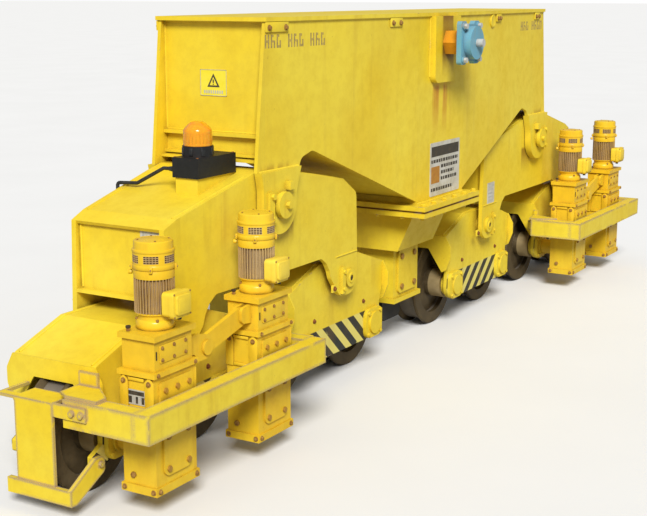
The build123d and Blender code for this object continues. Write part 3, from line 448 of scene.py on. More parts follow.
def flat(name, base, second, rough, scale, soiling_and_shade_amount=0.0, wear=0.0):
    """Dull paint, plastic, rubber or painted shade for openings, on the same pattern as the steels."""
    return steel(name, base, second, rough, 0.0, wear, soiling_and_shade_amount, scale)


def wheel_marks(tree, place, colour):
    """Rolled bright tread, tan hubs and axle ends, darker web."""
    y = maths(tree, "ABSOLUTE", split(tree, place)[1])
    normal = own_normal(tree)
    sideways = maths(tree, "ABSOLUTE", split(tree, normal)[1])
    tread = times(tree, fade(tree, y, 0.066, 0.072, 1.0, 0.0),
                  fade(tree, sideways, 0.2, 0.4, 1.0, 0.0))
    colour = tint(tree, tread, 0.75, colour, (0.30, 0.26, 0.21))
    hub = fade(tree, y, 0.107, 0.112)
    tan = mix_colour(tree, noise(tree, place, 14.0), (0.34, 0.25, 0.11), (0.62, 0.48, 0.25))
    return tint(tree, hub, 0.9, colour, tan)


def unit_marks(tree, place, colour):
    """Grey bolts and end stud on the blue bearing units."""
    x, y, z = split(tree, place)
    y = maths(tree, "ABSOLUTE", y)
    height = maths(tree, "SUBTRACT", z, TRUNNION_Z)
    radius = maths(tree, "SQRT", maths(tree, "ADD", times(tree, x, x),
                                       times(tree, height, height)))
    bolts = times(tree, fade(tree, y, 0.7215, 0.7235), fade(tree, radius, 0.1205, 0.1215))
    stud = times(tree, fade(tree, y, 0.767, 0.769), fade(tree, radius, 0.030, 0.032, 1.0, 0.0))
    grey = mix_colour(tree, noise(tree, place, 40.0), (0.36, 0.38, 0.38), (0.66, 0.66, 0.62))
    return mix_colour(tree, maths(tree, "MAXIMUM", bolts, stud), colour, grey)


yellow = paint("worn yellow paint")
web_yellow = paint("web yellow paint", wear=0.3, runs=0.22, marks=web_marks)
trunnion_yellow = paint("trunnion plate paint", marks=trunnion_marks)
stub_orange = paint("oily stub paint", (0.75, 0.30, 0.012), (0.82, 0.42, 0.02), soiling_and_shade_amount=0.9,
                    marks=drive_marks)
left_bogie_yellow = paint("left bogie paint", wear=0.45, soiling_and_shade_amount=0.7,
                          marks=stripe_marks(1.0))
right_bogie_yellow = paint("right bogie paint", wear=0.45, soiling_and_shade_amount=0.7,
                           marks=stripe_marks(-1.0))
low_yellow = paint("knocked yellow paint", wear=0.80, reach=0.026, patch=3.0,
                   soiling_and_shade_amount=0.75, runs=0.35)
joint_yellow = paint("joint plate paint", wear=0.55, marks=joint_marks)
drive_yellow = paint("drive yellow paint", DRIVE_YELLOW, DRIVE_YELLOW_FADED, wear=0.28, soiling_and_shade_amount=0.85,
                     reach=0.007, patch=9.0, rough=0.34, distance=0.05, marks=gear_marks)
motor_yellow = paint("motor paint", DRIVE_YELLOW, DRIVE_YELLOW_FADED, wear=0.30, soiling_and_shade_amount=1.0, reach=0.004,
                     patch=14.0, rough=0.24, distance=0.030, marks=drive_marks)
# the fins, their core and the grille hole walls painted a darker brown than the motor
fin_yellow = paint("darker brown fin paint", (0.52, 0.33, 0.10), (0.72, 0.55, 0.27), wear=0.75,
                   soiling_and_shade_amount=1.0, reach=0.004, patch=16.0, rough=0.32, distance=0.022)
clean_yellow = paint("terminal box paint", (0.88, 0.64, 0.040), (0.92, 0.70, 0.08), wear=0.2,
                     soiling_and_shade_amount=0.5, reach=0.005, patch=12.0)
blue_paint = paint("pale blue paint", (0.13, 0.38, 0.52), (0.22, 0.49, 0.62), wear=0.45,
                   soiling_and_shade_amount=0.75, reach=0.008, patch=12.0, runs=0.1, rough=0.34, distance=0.04,
                   marks=unit_marks)
wheel_steel = steel("rolled wheel steel", (0.085, 0.060, 0.026), (0.150, 0.110, 0.055),
                    rough=0.46, metallic=0.35, wear=0.4, soiling_and_shade_amount=0.7, scale=7.0, marks=wheel_marks)
equaliser_yellow = paint("equaliser paint", marks=equaliser_marks)
clamp_yellow = paint("clamp paint", soiling_and_shade_amount=0.8, marks=clamp_marks)
case_paint = paint("beacon case finish", wear=0.25, soiling_and_shade_amount=0.2, runs=0.0, reach=0.004,
                   patch=20.0, marks=case_marks)
worn_bolt = steel("browned bolt steel", (0.30, 0.14, 0.035), (0.48, 0.28, 0.070), rough=0.5,
                  metallic=0.2, scale=60.0)
bright_steel = steel("machined steel", (0.50, 0.49, 0.47), (0.62, 0.60, 0.57), rough=0.28,
                     metallic=0.9)
buffer_steel = steel("weathered buffer steel", (0.36, 0.30, 0.24), (0.50, 0.44, 0.37),
                     rough=0.5, metallic=0.5, wear=0.5, scale=12.0)
rusty_bolt = steel("rusty bolt steel", (0.20, 0.060, 0.018), (0.38, 0.15, 0.045), rough=0.65,
                   metallic=0.3, scale=60.0)
# dark material for small fittings, and painted shade on the floors of holes and slots
dark_fittings_and_hole_shade = flat("dark fittings and painted hole shade", (0.035, 0.022, 0.010), (0.06, 0.035, 0.015), 0.8, 40.0, soiling_and_shade_amount=0.5)
# dark material painted on the grille hole floors as the shade inside the cowl
grille_hole_shade = flat("grille holes in painted shade", (0.070, 0.036, 0.010), (0.15, 0.085, 0.028), 0.7, 50.0, soiling_and_shade_amount=0.5)
black_rubber = flat("black shoe lining", (0.012, 0.012, 0.012), (0.030, 0.030, 0.032),
                    0.55, 18.0, soiling_and_shade_amount=0.5)
black_case = flat("black beacon case", (0.010, 0.011, 0.012), (0.022, 0.024, 0.026),
                  0.32, 30.0, soiling_and_shade_amount=0.2, wear=0.3)
label_white = flat("weathered label white", (0.62, 0.61, 0.55), (0.48, 0.45, 0.36), 0.45, 9.0, soiling_and_shade_amount=0.1)
label_grey = flat("faded label grey", (0.40, 0.40, 0.36), (0.55, 0.54, 0.46), 0.5, 14.0, soiling_and_shade_amount=0.1)
label_black = flat("label black", (0.035, 0.030, 0.022), (0.075, 0.060, 0.040), 0.5, 30.0)
label_orange = flat("label orange", (0.42, 0.17, 0.02), (0.50, 0.24, 0.03), 0.5, 30.0)
label_yellow = flat("label yellow", (0.88, 0.74, 0.03), (0.90, 0.78, 0.06), 0.35, 12.0)
stencil_grey = flat("stencil paint", (0.30, 0.22, 0.08), (0.50, 0.36, 0.10), 0.6, 45.0)


def build_amber():
    """Clear orange lens plastic, lit a little from within."""
    made, tree, shader, place = new_material("amber lens plastic")
    tone = noise(tree, place, 30.0, 4.0)
    colour = mix_colour(tree, tone, (0.92, 0.28, 0.004), (0.98, 0.40, 0.010))
    # darker orange painted shade in the lens's corners and at its rim, with soiling
    soiling_and_shade = use(tree, CORNER_SOILING_AND_SHADE, Place=place, Distance=0.04, Amount=0.4)["Mask"]
    colour = mix_colour(tree, soiling_and_shade, colour, (0.40, 0.09, 0.004))
    tree.links.new(colour, shader.inputs["Base Color"])
    for name, value in (("Roughness", 0.16), ("Subsurface Weight", 0.4), ("Subsurface Scale", 0.6),
                        ("Subsurface Radius", (0.05, 0.02, 0.004)), ("Coat Weight", 0.6),
                        ("Coat Roughness", 0.08)):
        shader.inputs[name].default_value = value
    return made


amber = build_amber()


# ---------------------------------------------------------------- shapes

def soften(part, edges, reach, segments=2):
    bmesh.ops.bevel(part, geom=edges, offset=reach, segments=segments, affect="EDGES", profile=0.5,
                    material=-1)


def block(low, high, soft=0.0, segments=2):
    """A rectangular block between two corners, with softened edges."""
    part = bmesh.new()
    low, high = Vector(low), Vector(high)
    size = high - low
    bmesh.ops.create_cube(part, size=1.0, matrix=Matrix.Translation((low + high) / 2) @
                          Matrix.Diagonal((size.x, size.y, size.z, 1.0)))
    if soft:
        soften(part, part.edges[:], soft, segments)
    return part


def along(start, end):
    """Placement that lays a shape made along Z between two points."""
    start, end = Vector(start), Vector(end)
    turn = UP.rotation_difference(end - start).to_matrix().to_4x4()
    return Matrix.Translation((start + end) / 2) @ turn


def bar(start, end, radius, sides=24, soft=0.0, tip=None):
    """A round or many sided bar between two points."""
    part = bmesh.new()
    length = (Vector(end) - Vector(start)).length
    bmesh.ops.create_cone(part, cap_ends=True, segments=sides, radius1=radius,
                          radius2=radius if tip is None else tip, depth=length)
    if soft:
        rims = [edge for edge in part.edges if abs(edge.verts[0].co.z - edge.verts[1].co.z) < 1e-6]
        soften(part, rims, soft)
    bmesh.ops.transform(part, matrix=along(start, end), verts=part.verts[:])
    return part


def spun(profile, steps):
    """A profile of (radius, height) points spun about the Z axis."""
    part = bmesh.new()
    points = [part.verts.new((radius, 0.0, height)) for radius, height in profile]
    for first, second in zip(points, points[1:]):
        part.edges.new((first, second))
    bmesh.ops.spin(part, geom=part.verts[:] + part.edges[:], cent=(0, 0, 0), axis=(0, 0, 1),
                   angle=2 * pi, steps=steps, use_merge=True)
    bmesh.ops.remove_doubles(part, verts=part.verts[:], dist=1e-6)
    bmesh.ops.recalc_face_normals(part, faces=part.faces[:])
    return part


def peg(foot, outward, length, radius, sides=24, soft=0.0, tip=None):
    """A bar that stands on a point and reaches outward."""
    foot = Vector(foot)
    return bar(foot, foot + Vector(outward) * length, radius, sides, soft, tip)


def turned(profile, centre, direction=(0, 0, 1), steps=48):
    """A spun shape placed on an axis; the profile may start or end on the axis."""
    part = spun(profile, steps)
    turn = UP.rotation_difference(Vector(direction)).to_matrix().to_4x4()
    bmesh.ops.transform(part, matrix=Matrix.Translation(centre) @ turn, verts=part.verts[:])
    return part


def slab(outline, thickness, soft=0.0):
    """A flat plate from an XZ outline, from y = -thickness to y = 0."""
    part = bmesh.new()
    face = part.faces.new([part.verts.new((x, 0.0, z)) for x, z in outline])
    grown = bmesh.ops.extrude_face_region(part, geom=[face])
    moved = [item for item in grown["geom"] if isinstance(item, bmesh.types.BMVert)]
    bmesh.ops.translate(part, vec=(0, -thickness, 0), verts=moved)
    bmesh.ops.recalc_face_normals(part, faces=part.faces[:])
    if soft:
        soften(part, part.edges[:], soft)
    return part


def round_slab(x0, x1, z0, z1, radius, thickness, soft=0.0):
    """A flat plate with rounded corners."""
    outline = []
    for cx, cz, start in ((x1 - radius, z1 - radius, 0), (x0 + radius, z1 - radius, 90),
                          (x0 + radius, z0 + radius, 180), (x1 - radius, z0 + radius, 270)):
        for step in range(6):
            angle = radians(start + step * 18)
            outline.append((cx + radius * cos(angle), cz + radius * sin(angle)))
    part = slab(outline, thickness)
    if soft:
        rim = [edge for edge in part.edges
               if edge.verts[0].co.y < -thickness / 2 and edge.verts[1].co.y < -thickness / 2]
        soften(part, rim, soft)
    return part


def around(centre, degrees):
    """Placement turned about the upright axis through a centre."""
    return Matrix.Translation(centre) @ Matrix.Rotation(radians(degrees), 4, "Z")


def facing(origin, outward):
    """Placement whose local -Y looks outward and whose local Z stays up."""
    outward = Vector(outward).normalized()
    side = UP.cross(outward).normalized()
    turn = Matrix((side, -outward, UP)).transposed().to_4x4()
    return Matrix.Translation(origin) @ turn


def on_web(x, z, side=-1):
    """Placement on the outer face of a web."""
    reach = abs(x)
    share = min(max((WEB_TURN - reach) / (WEB_TURN - WEB_CREASE), 0.0), 1.0)
    half = WEB_END_HALF + share * (WEB_MIDDLE_HALF - WEB_END_HALF)
    slope = 0.0
    if WEB_CREASE < reach < WEB_TURN:
        slope = (WEB_MIDDLE_HALF - WEB_END_HALF) / (WEB_TURN - WEB_CREASE)
    lean = slope if x > 0 else -slope
    return facing((x, side * half, z), (lean, side, 0))


def new_object(name, data):
    made = bpy.data.objects.new(name, data)
    scene.collection.objects.link(made)
    return made


class Piece:
    """Collects shapes, each with its material, into one mesh. The first material is number 0."""

    def __init__(self, *materials):
        self.mesh = bmesh.new()
        self.materials = materials

    def add(self, part, material=0, place=None):
        for face in part.faces:
            face.material_index = material
        if place is not None:
            bmesh.ops.transform(part, matrix=place, verts=part.verts[:])
        self.merge(part)

    def merge(self, part):
        """Join a shape to the piece with the materials its faces already have."""
        held = bpy.data.meshes.new("held")
        part.to_mesh(held)
        part.free()
        self.mesh.from_mesh(held)
        bpy.data.meshes.remove(held)

    def finish(self, name, body, finish_slot, *stands_for):
        mesh = bpy.data.meshes.new(name)
        self.mesh.to_mesh(mesh)
        self.mesh.free()
        for material in self.materials:
            mesh.materials.append(material)
        mesh.shade_smooth()
        mesh.set_sharp_from_angle(angle=radians(34))
        made = new_object(name, mesh)
        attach(made, body)
        if stands_for:
            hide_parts(*stands_for)
        return made


def bolt(piece, place, outward, size=0.013, head=0):
    """A hexagon head on its washer, standing on a face."""
    place, outward = Vector(place), Vector(outward).normalized()
    foot = place + outward * size * 0.22
    piece.add(bar(place, foot, size * 1.45, 20, size * 0.06), head)
    piece.add(peg(foot, outward, size * 0.85, size, 6, size * 0.12), head)


def mark(piece, x0, z0, x1, z1, material, place, low=0.003, high=0.0042):
    """A thin plain bar printed on a plate, between two heights over its back."""
    piece.add(block((x0, -high, z0), (x1, -low, z1)), material, place)


# ---------------------------------------------------------------- drives

GRILLE_RADIUS = 0.1085
GRILLE_LOW = 1.341
GRILLE_HEIGHT = 0.061
GRILLE_ROWS = 4
GRILLE_COLUMNS = 42
COLUMNS_PER_GROUP = 7
OPEN_COLUMNS = 5
FIN_COUNT = 36


def cowl_grille(centre):
    """Band of the fan cowl with groups of sunk openings. Materials: paint, walls, painted shade on the
    hole floors.
    """
    steps = GRILLE_ROWS + 2
    band = spun([(GRILLE_RADIUS, GRILLE_LOW + GRILLE_HEIGHT * step / steps)
                 for step in range(steps + 1)], GRILLE_COLUMNS)
    holes = []
    for face in band.faces:
        middle = face.calc_center_median()
        if face.normal.dot(Vector((middle.x, middle.y, 0))) < 0:
            face.normal_flip()
        turn = atan2(middle.y, middle.x) % (2 * pi) / (2 * pi)
        column = int(turn * GRILLE_COLUMNS) % COLUMNS_PER_GROUP
        row = int((middle.z - GRILLE_LOW) / GRILLE_HEIGHT * steps)
        if column < OPEN_COLUMNS and 1 <= row <= GRILLE_ROWS:
            holes.append(face)
    for face in holes:
        face.material_index = 1
    for thickness, depth in ((0.0017, 0.0), (0.0002, -0.006)):
        bmesh.ops.inset_individual(band, faces=holes, thickness=thickness, depth=depth,
                                   use_even_offset=True)
    # hole floors take the dark material: painted shade standing for the cowl's dark inside
    for face in holes:
        face.material_index = 2
    bmesh.ops.transform(band, matrix=around(centre, 9), verts=band.verts[:])
    return band


def motor_frame(piece, x):
    """Finned motor with fan cowl and clips. Materials: paint, fins, painted shade in the grille holes,
    bolts.
    """
    centre = (x, DRIVE_Y, 0.0)
    piece.add(turned([
        (0.0, 0.998), (0.097, 0.998), (0.1005, 1.003), (0.1025, 1.022), (0.1005, 1.040),
        (0.096, 1.046), (0.0915, 1.050), (0.0905, 1.066), (0.094, 1.075), (0.104, 1.081),
        (0.104, 1.087), (0.090, 1.089)], centre), 0)
    piece.add(turned([(0.0915, 1.088), (0.0915, 1.266)], centre, steps=36), 1)
    piece.add(turned([
        (0.090, 1.265), (0.1055, 1.268), (0.1065, 1.276), (0.1065, 1.306), (0.104, 1.311),
        (0.1040, 1.314), (0.1085, 1.316), (0.1110, 1.321), (0.1110, 1.336), (0.1085, 1.341)],
        centre, steps=64), 0)
    piece.add(turned([
        (0.1085, 1.402), (0.1110, 1.405), (0.1120, 1.411), (0.1110, 1.417), (0.1045, 1.420),
        (0.1035, 1.426), (0.1035, 1.452), (0.1020, 1.4595), (0.0975, 1.4635), (0.0930, 1.4640),
        (0.0905, 1.4620), (0.0500, 1.4700), (0.0, 1.4725)], centre, steps=64), 0)
    piece.merge(cowl_grille(centre))
    for count in range(FIN_COUNT):
        fin = block((0.088, -0.0022, 1.086), (0.1065, 0.0022, 1.2685), 0.0012, 1)
        piece.add(fin, 1, around(centre, count * 360 / FIN_COUNT + 4))
    for angle in (30, 120, 210, 300):
        clip = block((0.105, -0.0095, 1.306), (0.1205, 0.0095, 1.338), 0.003)
        turn = around(centre, angle)
        piece.add(clip, 0, turn)
        piece.add(bar((0.1205, 0, 1.322), (0.1245, 0, 1.322), 0.005, 6), 3, turn)
    for angle in range(45, 405, 90):
        spoke = Vector((cos(radians(angle)), sin(radians(angle)), 0))
        middle = Vector(centre)
        piece.add(peg(middle + spoke * 0.0955 + UP * 1.0455, UP, 0.012, 0.008, 6, 0.001), 3)
        piece.add(peg(middle + spoke * 0.080 + UP * 1.462, UP, 0.0065, 0.0055, 6), 3)
    piece.add(peg((x - 0.055, DRIVE_Y + 0.098, 1.292), (-0.010, 0.018, 0), 1.0, 0.012, 16, 0.002))


def terminal_box(piece, x):
    """Rounded box with a rimmed lid, screws and a cable gland. Materials: box paint, screws, gland."""
    left, right = x - 0.074, x + 0.082
    low, high = 1.070, 1.212
    body_back, seam, lid_face, panel_face = (DRIVE_Y - reach for reach in (0.098, 0.150, 0.176, 0.190))
    for inset, corner, back, depth, soft in (
            (0.006, 0.022, body_back, body_back - seam, 0.004), (0.0, 0.026, seam, seam - lid_face, 0.007),
            (0.018, 0.018, lid_face, lid_face - panel_face, 0.006),
            (0.034, 0.010, panel_face, 0.0015, 0.0005)):
        plate = round_slab(left + inset, right - inset, low + inset, high - inset, corner, depth, soft)
        piece.add(plate, 0, Matrix.Translation((0, back, 0)))
    for screw_x in (left + 0.011, right - 0.011):
        for z in (low + 0.011, high - 0.011):
            piece.add(peg((screw_x, lid_face + 0.002, z), (0, -1, 0), 0.005, 0.0052, 12, 0.001), 1)
    gland_y = DRIVE_Y - 0.126
    piece.add(peg((x + 0.040, gland_y, low + 0.004), -UP, 0.014, 0.017, 6, 0.002), 2)
    piece.add(peg((x + 0.040, gland_y, low - 0.010), -UP, 0.014, 0.013, 18, 0.003), 2)
    piece.add(peg((x - 0.030, gland_y, low + 0.004), -UP, 0.009, 0.014, 6, 0.002))


def gearbox_fittings(piece, x, plated):
    """Posts, cover, bolts, plugs and nameplate. Materials: paint, bolts, dark (painted shade in the cover
    slot, and the breather cap and sight glass), label, its marks.
    """
    for way in (-1, 1):
        face = x + way * GEAR_HALF
        low_x, high_x = sorted((face, face + way * 0.011))
        for y0, y1 in ((GEAR_FACE - 0.002, GEAR_FACE + 0.056), (GEAR_BACK - 0.050, GEAR_BACK + 0.002)):
            post = slab([(0.0, 0.585), (y1 - y0, 0.585), (y1 - y0, 0.752), (y1 - y0 - 0.022, 0.776),
                         (0.022, 0.776), (0.0, 0.752)], 0.011, 0.0025)
            turn = facing((face, 0, 0), (way, 0, 0))
            shift = y0 if way > 0 else -y1
            piece.add(post, 0, turn @ Matrix.Translation((shift, 0.0, 0)))
            middle = (y0 + y1) / 2
            bolt(piece, (face + way * 0.011, middle, 0.746), (way, 0, 0), 0.0105, 1)
        for z in (0.588, 0.752):
            piece.add(block((low_x, GEAR_FACE + 0.060, z), (high_x, GEAR_BACK - 0.054, z + 0.018), 0.003))
        for y in (GEAR_FACE + 0.012, GEAR_BACK - 0.012):
            bolt(piece, (x + way * 0.186, y, 0.163), (way, 0, 0), 0.0105, 1)
        piece.add(peg((face, DRIVE_Y + 0.03, 0.235), (way, 0, 0), 0.012, 0.017, 6, 0.002), 1)
    for dx in (-0.158, 0.158):
        bolt(piece, (x + dx, GEAR_FACE - 0.010, 0.163), (0, -1, 0), 0.0105, 1)
        bolt(piece, (x + dx, GEAR_FACE - 0.016, 0.791), (0, -1, 0), 0.0085, 1)
    # small cover on the upper box
    cover = round_slab(x - 0.118, x + 0.118, 0.842, 0.938, 0.010, 0.005, 0.0015)
    piece.add(cover, 0, Matrix.Translation((0, GEAR_FACE + 0.006, 0)))
    for dx in (-0.098, 0.0, 0.098):
        for z in (0.858, 0.922):
            bolt(piece, (x + dx, GEAR_FACE + 0.001, z), (0, -1, 0), 0.0075, 1)
    # a dark strip for the slot in the upper box: painted shade
    piece.add(block((x - 0.146, GEAR_FACE + 0.002, 0.868), (x - 0.140, GEAR_FACE + 0.007, 0.912)), 2)
    # breather on the lid
    piece.add(peg((x - 0.140, GEAR_BACK - 0.030, 0.998), UP, 0.016, 0.011, 6, 0.001), 1)
    piece.add(peg((x - 0.140, GEAR_BACK - 0.030, 1.014), UP, 0.014, 0.014, 18, 0.004), 2)
    # sight glass on the rear face
    piece.add(turned([(0.0, 0.004), (0.014, 0.004), (0.016, 0.009), (0.023, 0.009), (0.024, 0.0),
                      (0.0, 0.0)], (x + 0.09, GEAR_BACK, 0.52), (0, 1, 0), 24), 2)
    if not plated:
        return
    # nameplate with plain marks on the outer face
    plate_x = x - GEAR_HALF
    turn = facing((plate_x, DRIVE_Y - 0.004, 0.662), (-1, 0, 0))
    piece.add(round_slab(-0.058, 0.058, -0.040, 0.040, 0.005, 0.003), 3, turn)
    for corners in ((-0.050, 0.012, 0.050, 0.033), (-0.050, -0.032, -0.030, 0.004),
                    (-0.004, -0.032, 0.010, 0.004), (0.034, -0.032, 0.050, 0.004)):
        mark(piece, *corners, 4, turn)
    for dx in (-0.053, 0.053):
        piece.add(bar((dx, -0.003, 0.0), (dx, -0.0055, 0.0), 0.0035, 8), 1, turn)


for side, way in SIDES:
    body = f"bogie_outer_{side}"
    motors = Piece(motor_yellow, fin_yellow, grille_hole_shade, worn_bolt)
    boxes = Piece(clean_yellow, worn_bolt, black_case)
    fittings = Piece(drive_yellow, worn_bolt, dark_fittings_and_hole_shade, label_grey, label_black)
    for step in (-1, 1):
        wheel_x = way * OUTER_BOGIE_X + step * HALF_WHEEL_SPACING
        motor_frame(motors, wheel_x)
        terminal_box(boxes, wheel_x)
        gearbox_fittings(fittings, wheel_x, plated=wheel_x < -3.5)
    motors.finish(f"motors_{side}", body, "drive_yellow", f"motor_housings_{side}")
    boxes.finish(f"terminal_boxes_{side}", body, "drive_yellow")
    fittings.finish(f"gearbox_fittings_{side}", body, "drive_yellow")


# ---------------------------------------------------------------- beacon

lens = Piece(amber)
lens.add(turned([
    (0.0775, 1.826), (0.0845, 1.826), (0.0860, 1.832), (0.0845, 1.838), (0.0845, 1.900),
    (0.0850, 1.915), (0.0790, 1.926), (0.0620, 1.944), (0.0480, 1.957), (0.0350, 1.9655),
    (0.0200, 1.9680), (0.0, 1.9685), (0.0, 1.9640), (0.030, 1.9600), (0.0740, 1.918),
    (0.0775, 1.905), (0.0775, 1.826)], LENS_PLACE, steps=64))
for angle in range(0, 360, 15):
    rib = bar((0.0842, 0, 1.842), (0.0842, 0, 1.898), 0.0022, 8, 0.0006)
    lens.add(rib, 0, around(LENS_PLACE, angle))
lens.finish("beacon_dome", "equaliser_left", "amber_lens", "beacon_lens")

case_trim = Piece(black_case, rusty_bolt)
for angle in range(10, 370, 45):
    clip = block((0.088, -0.012, 1.770), (0.0965, 0.012, 1.818), 0.003)
    case_trim.add(clip, 0, around(LENS_PLACE, angle))
for x in (-2.722, -2.366):
    for y in (-0.240, -0.078):
        case_trim.add(peg((x, y, 1.763), UP, 0.005, 0.008, 12, 0.0015), 1)
case_trim.add(peg((-2.700, -0.066, 1.689), (0, 1, 0), 0.022, 0.020, 6, 0.002))
case_trim.add(peg((-2.700, -0.044, 1.689), (0, 1, 0), 0.028, 0.0165, 20, 0.002, 0.0125))
case_trim.finish("beacon_case_trim", "equaliser_left", "black_plastic")


# ---------------------------------------------------------------- beam details

def web_pad(piece, x, width, side):
    """A pad under the top flange with two bolts. Materials: paint, bolts."""
    place = on_web(x, FLANGE_UNDER - 0.035, side)
    piece.add(block((-width / 2, -0.012, -0.028), (width / 2, 0.0, 0.033), 0.003), 0, place)
    for dx in (-width / 2 + 0.030, width / 2 - 0.030):
        point = place @ Vector((dx, -0.012, -0.002))
        bolt(piece, point, place.to_3x3() @ Vector((0, -1, 0)), 0.013, 1)


def weld(piece, start, end, radius=0.006):
    """A straight weld bead."""
    piece.add(bar(start, end, radius, 8))


beam_trim = Piece(yellow, worn_bolt, dark_fittings_and_hole_shade)
for side in (-1, 1):
    for x, width in ((-2.130, 0.230), (-0.720, 0.160), (1.100, 0.110), (2.050, 0.130)):
        web_pad(beam_trim, x, width, side)
    ring = on_web(0.965, 2.480, side)
    beam_trim.add(turned([(0.0, 0.0), (0.052, 0.0), (0.052, 0.010), (0.044, 0.014), (0.030, 0.010),
                          (0.0, 0.010)], (0, 0, 0), (0, -1, 0), 32), 0, ring)
    # fillet welds: web to flange, web to lug, trunnion plate to web, joint plate to web
    for first, second in (((-2.236, WEB_END_HALF), (-0.400, WEB_MIDDLE_HALF)),
                          ((-0.400, WEB_MIDDLE_HALF), (0.400, WEB_MIDDLE_HALF)),
                          ((0.400, WEB_MIDDLE_HALF), (2.236, WEB_END_HALF))):
        weld(beam_trim, (first[0], side * (first[1] + 0.001), FLANGE_UNDER - 0.001),
             (second[0], side * (second[1] + 0.001), FLANGE_UNDER - 0.001), 0.007)
    for way in (-1, 1):
        weld(beam_trim, (way * 2.330, side * 0.399, 1.643), (way * 1.905, side * 0.414, 1.643), 0.009)
        weld(beam_trim, (way * 0.211, side * 0.488, 2.100), (way * 0.211, side * 0.488, 2.534), 0.007)
    weld(beam_trim, (-0.155, side * 0.488, 2.056), (0.155, side * 0.488, 2.056), 0.007)
    weld(beam_trim, (-0.399, side * 0.488, 1.186), (0.399, side * 0.488, 1.186), 0.009)
for way in (-1, 1):
    outer = way * 2.200
    for side in (-1, 1):
        weld(beam_trim, (outer, side * 0.375, 1.865), (outer, side * 0.375, 2.532), 0.008)
    weld(beam_trim, (outer, -0.373, 2.534), (outer, 0.373, 2.534), 0.008)
    weld(beam_trim, (outer, -0.373, 1.862), (outer, 0.373, 1.862), 0.006)
# bolts that hold the two joint plates together
for x in (-0.440, -0.264, -0.088, 0.088, 0.264, 0.440):
    for side in (-1, 1):
        bolt(beam_trim, (x, side * 0.566, 1.185), (0, 0, 1), 0.017, 0)
        bolt(beam_trim, (x, side * 0.566, 1.100), (0, 0, -1), 0.017, 0)
for way in (-1, 1):
    for y in (-0.400, -0.200, 0.0, 0.200, 0.400):
        bolt(beam_trim, (way * 0.445, y, 1.100), (0, 0, -1), 0.017, 0)
beam_trim.finish("beam_welds_and_pads", "main_beam", "yellow_paint")


def stencil_marks(piece, place, count, width, height, gaps=()):
    """A row of plain stencilled strokes that spell nothing."""
    cell = width / count
    for index in range(count):
        if index in gaps:
            continue
        x = -width / 2 + index * cell
        stroke = cell * 0.22
        right = x + cell * 0.72
        piece.add(block((x, -0.0006, -height / 2), (x + stroke, 0.0, height / 2)), 0, place)
        kind = index % 4
        low, high = (-height / 2, height / 2) if kind in (0, 3) else (-height / 2, height * 0.05)
        piece.add(block((right - stroke, -0.0006, low), (right, 0.0, high)), 0, place)
        levels = {0: (0.0,), 1: (0.40, 0.0), 2: (-0.40, 0.40), 3: (0.40,)}[kind]
        for level in levels:
            piece.add(block((x + stroke * 1.25, -0.0006, height * (level - 0.09)),
                            (right - stroke * 1.25, 0.0, height * (level + 0.09))), 0, place)


stencils = Piece(stencil_grey)
stencil_marks(stencils, on_web(-1.915, 2.418), 11, 0.660, 0.080, (3, 7))
stencil_marks(stencils, on_web(1.930, 2.422), 8, 0.560, 0.075, (3,))
stencil_marks(stencils, on_web(1.930, 2.418, 1), 11, 0.660, 0.080, (3, 7))
stencils.finish("stencilled_marks", "main_beam", "yellow_paint")

signs = Piece(label_white, label_black, label_orange, label_yellow, label_grey)
board = on_web(0.076, 1.410)
signs.add(round_slab(-0.255, 0.255, -0.200, 0.200, 0.012, 0.003), 0, board)
mark(signs, -0.235, 0.095, 0.235, 0.170, 1, board)
mark(signs, -0.235, -0.105, -0.095, 0.020, 2, board)
for row, (left, right) in enumerate(((-0.235, 0.225), (-0.070, 0.215), (-0.070, 0.150),
                                     (-0.070, 0.205), (-0.235, 0.130))):
    z = 0.060 - 0.046 * row if row < 4 else -0.152
    step = 0.040
    x = left
    index = 0
    while x < right:
        long = step * (0.55 + 0.35 * ((index * 7 + row * 3) % 4) / 3)
        mark(signs, x, z - 0.012, min(x + long, right), z + 0.012, 1, board)
        x += long + 0.012
        index += 1
triangle_board = facing((-2.200, 0.010, 2.160), (-1, 0, 0))
signs.add(round_slab(-0.098, 0.098, -0.080, 0.080, 0.006, 0.003), 3, triangle_board)
signs.add(slab([(-0.046, -0.026), (0.046, -0.026), (0.0, 0.056)], 0.0042), 1, triangle_board)
signs.add(slab([(-0.028, -0.016), (0.028, -0.016), (0.0, 0.035)], 0.0050), 3, triangle_board)
for low, high in ((-0.001, 0.020), (-0.012, -0.006)):
    mark(signs, -0.0045, low, 0.0045, high, 1, triangle_board, 0.0042, 0.0058)
for index in range(9):
    x = -0.072 + index * 0.0165
    mark(signs, x, -0.066, x + 0.010, -0.046, 4, triangle_board)
for corners in ((-0.098, -0.080, 0.098, -0.077), (-0.098, 0.077, 0.098, 0.080),
                (-0.098, -0.080, -0.095, 0.080), (0.095, -0.080, 0.098, 0.080)):
    mark(signs, *corners, 4, triangle_board, high=0.0045)
signs.finish("beam_signs", "main_beam", "yellow_paint")

# ---------------------------------------------------------------- equaliser and bogie details

def eq_half(reach):
    """Half width over the equaliser side plates at a distance from the middle of the machine."""
    return 0.371 - 0.041 / 0.860 * max(reach - 2.400, 0.0)


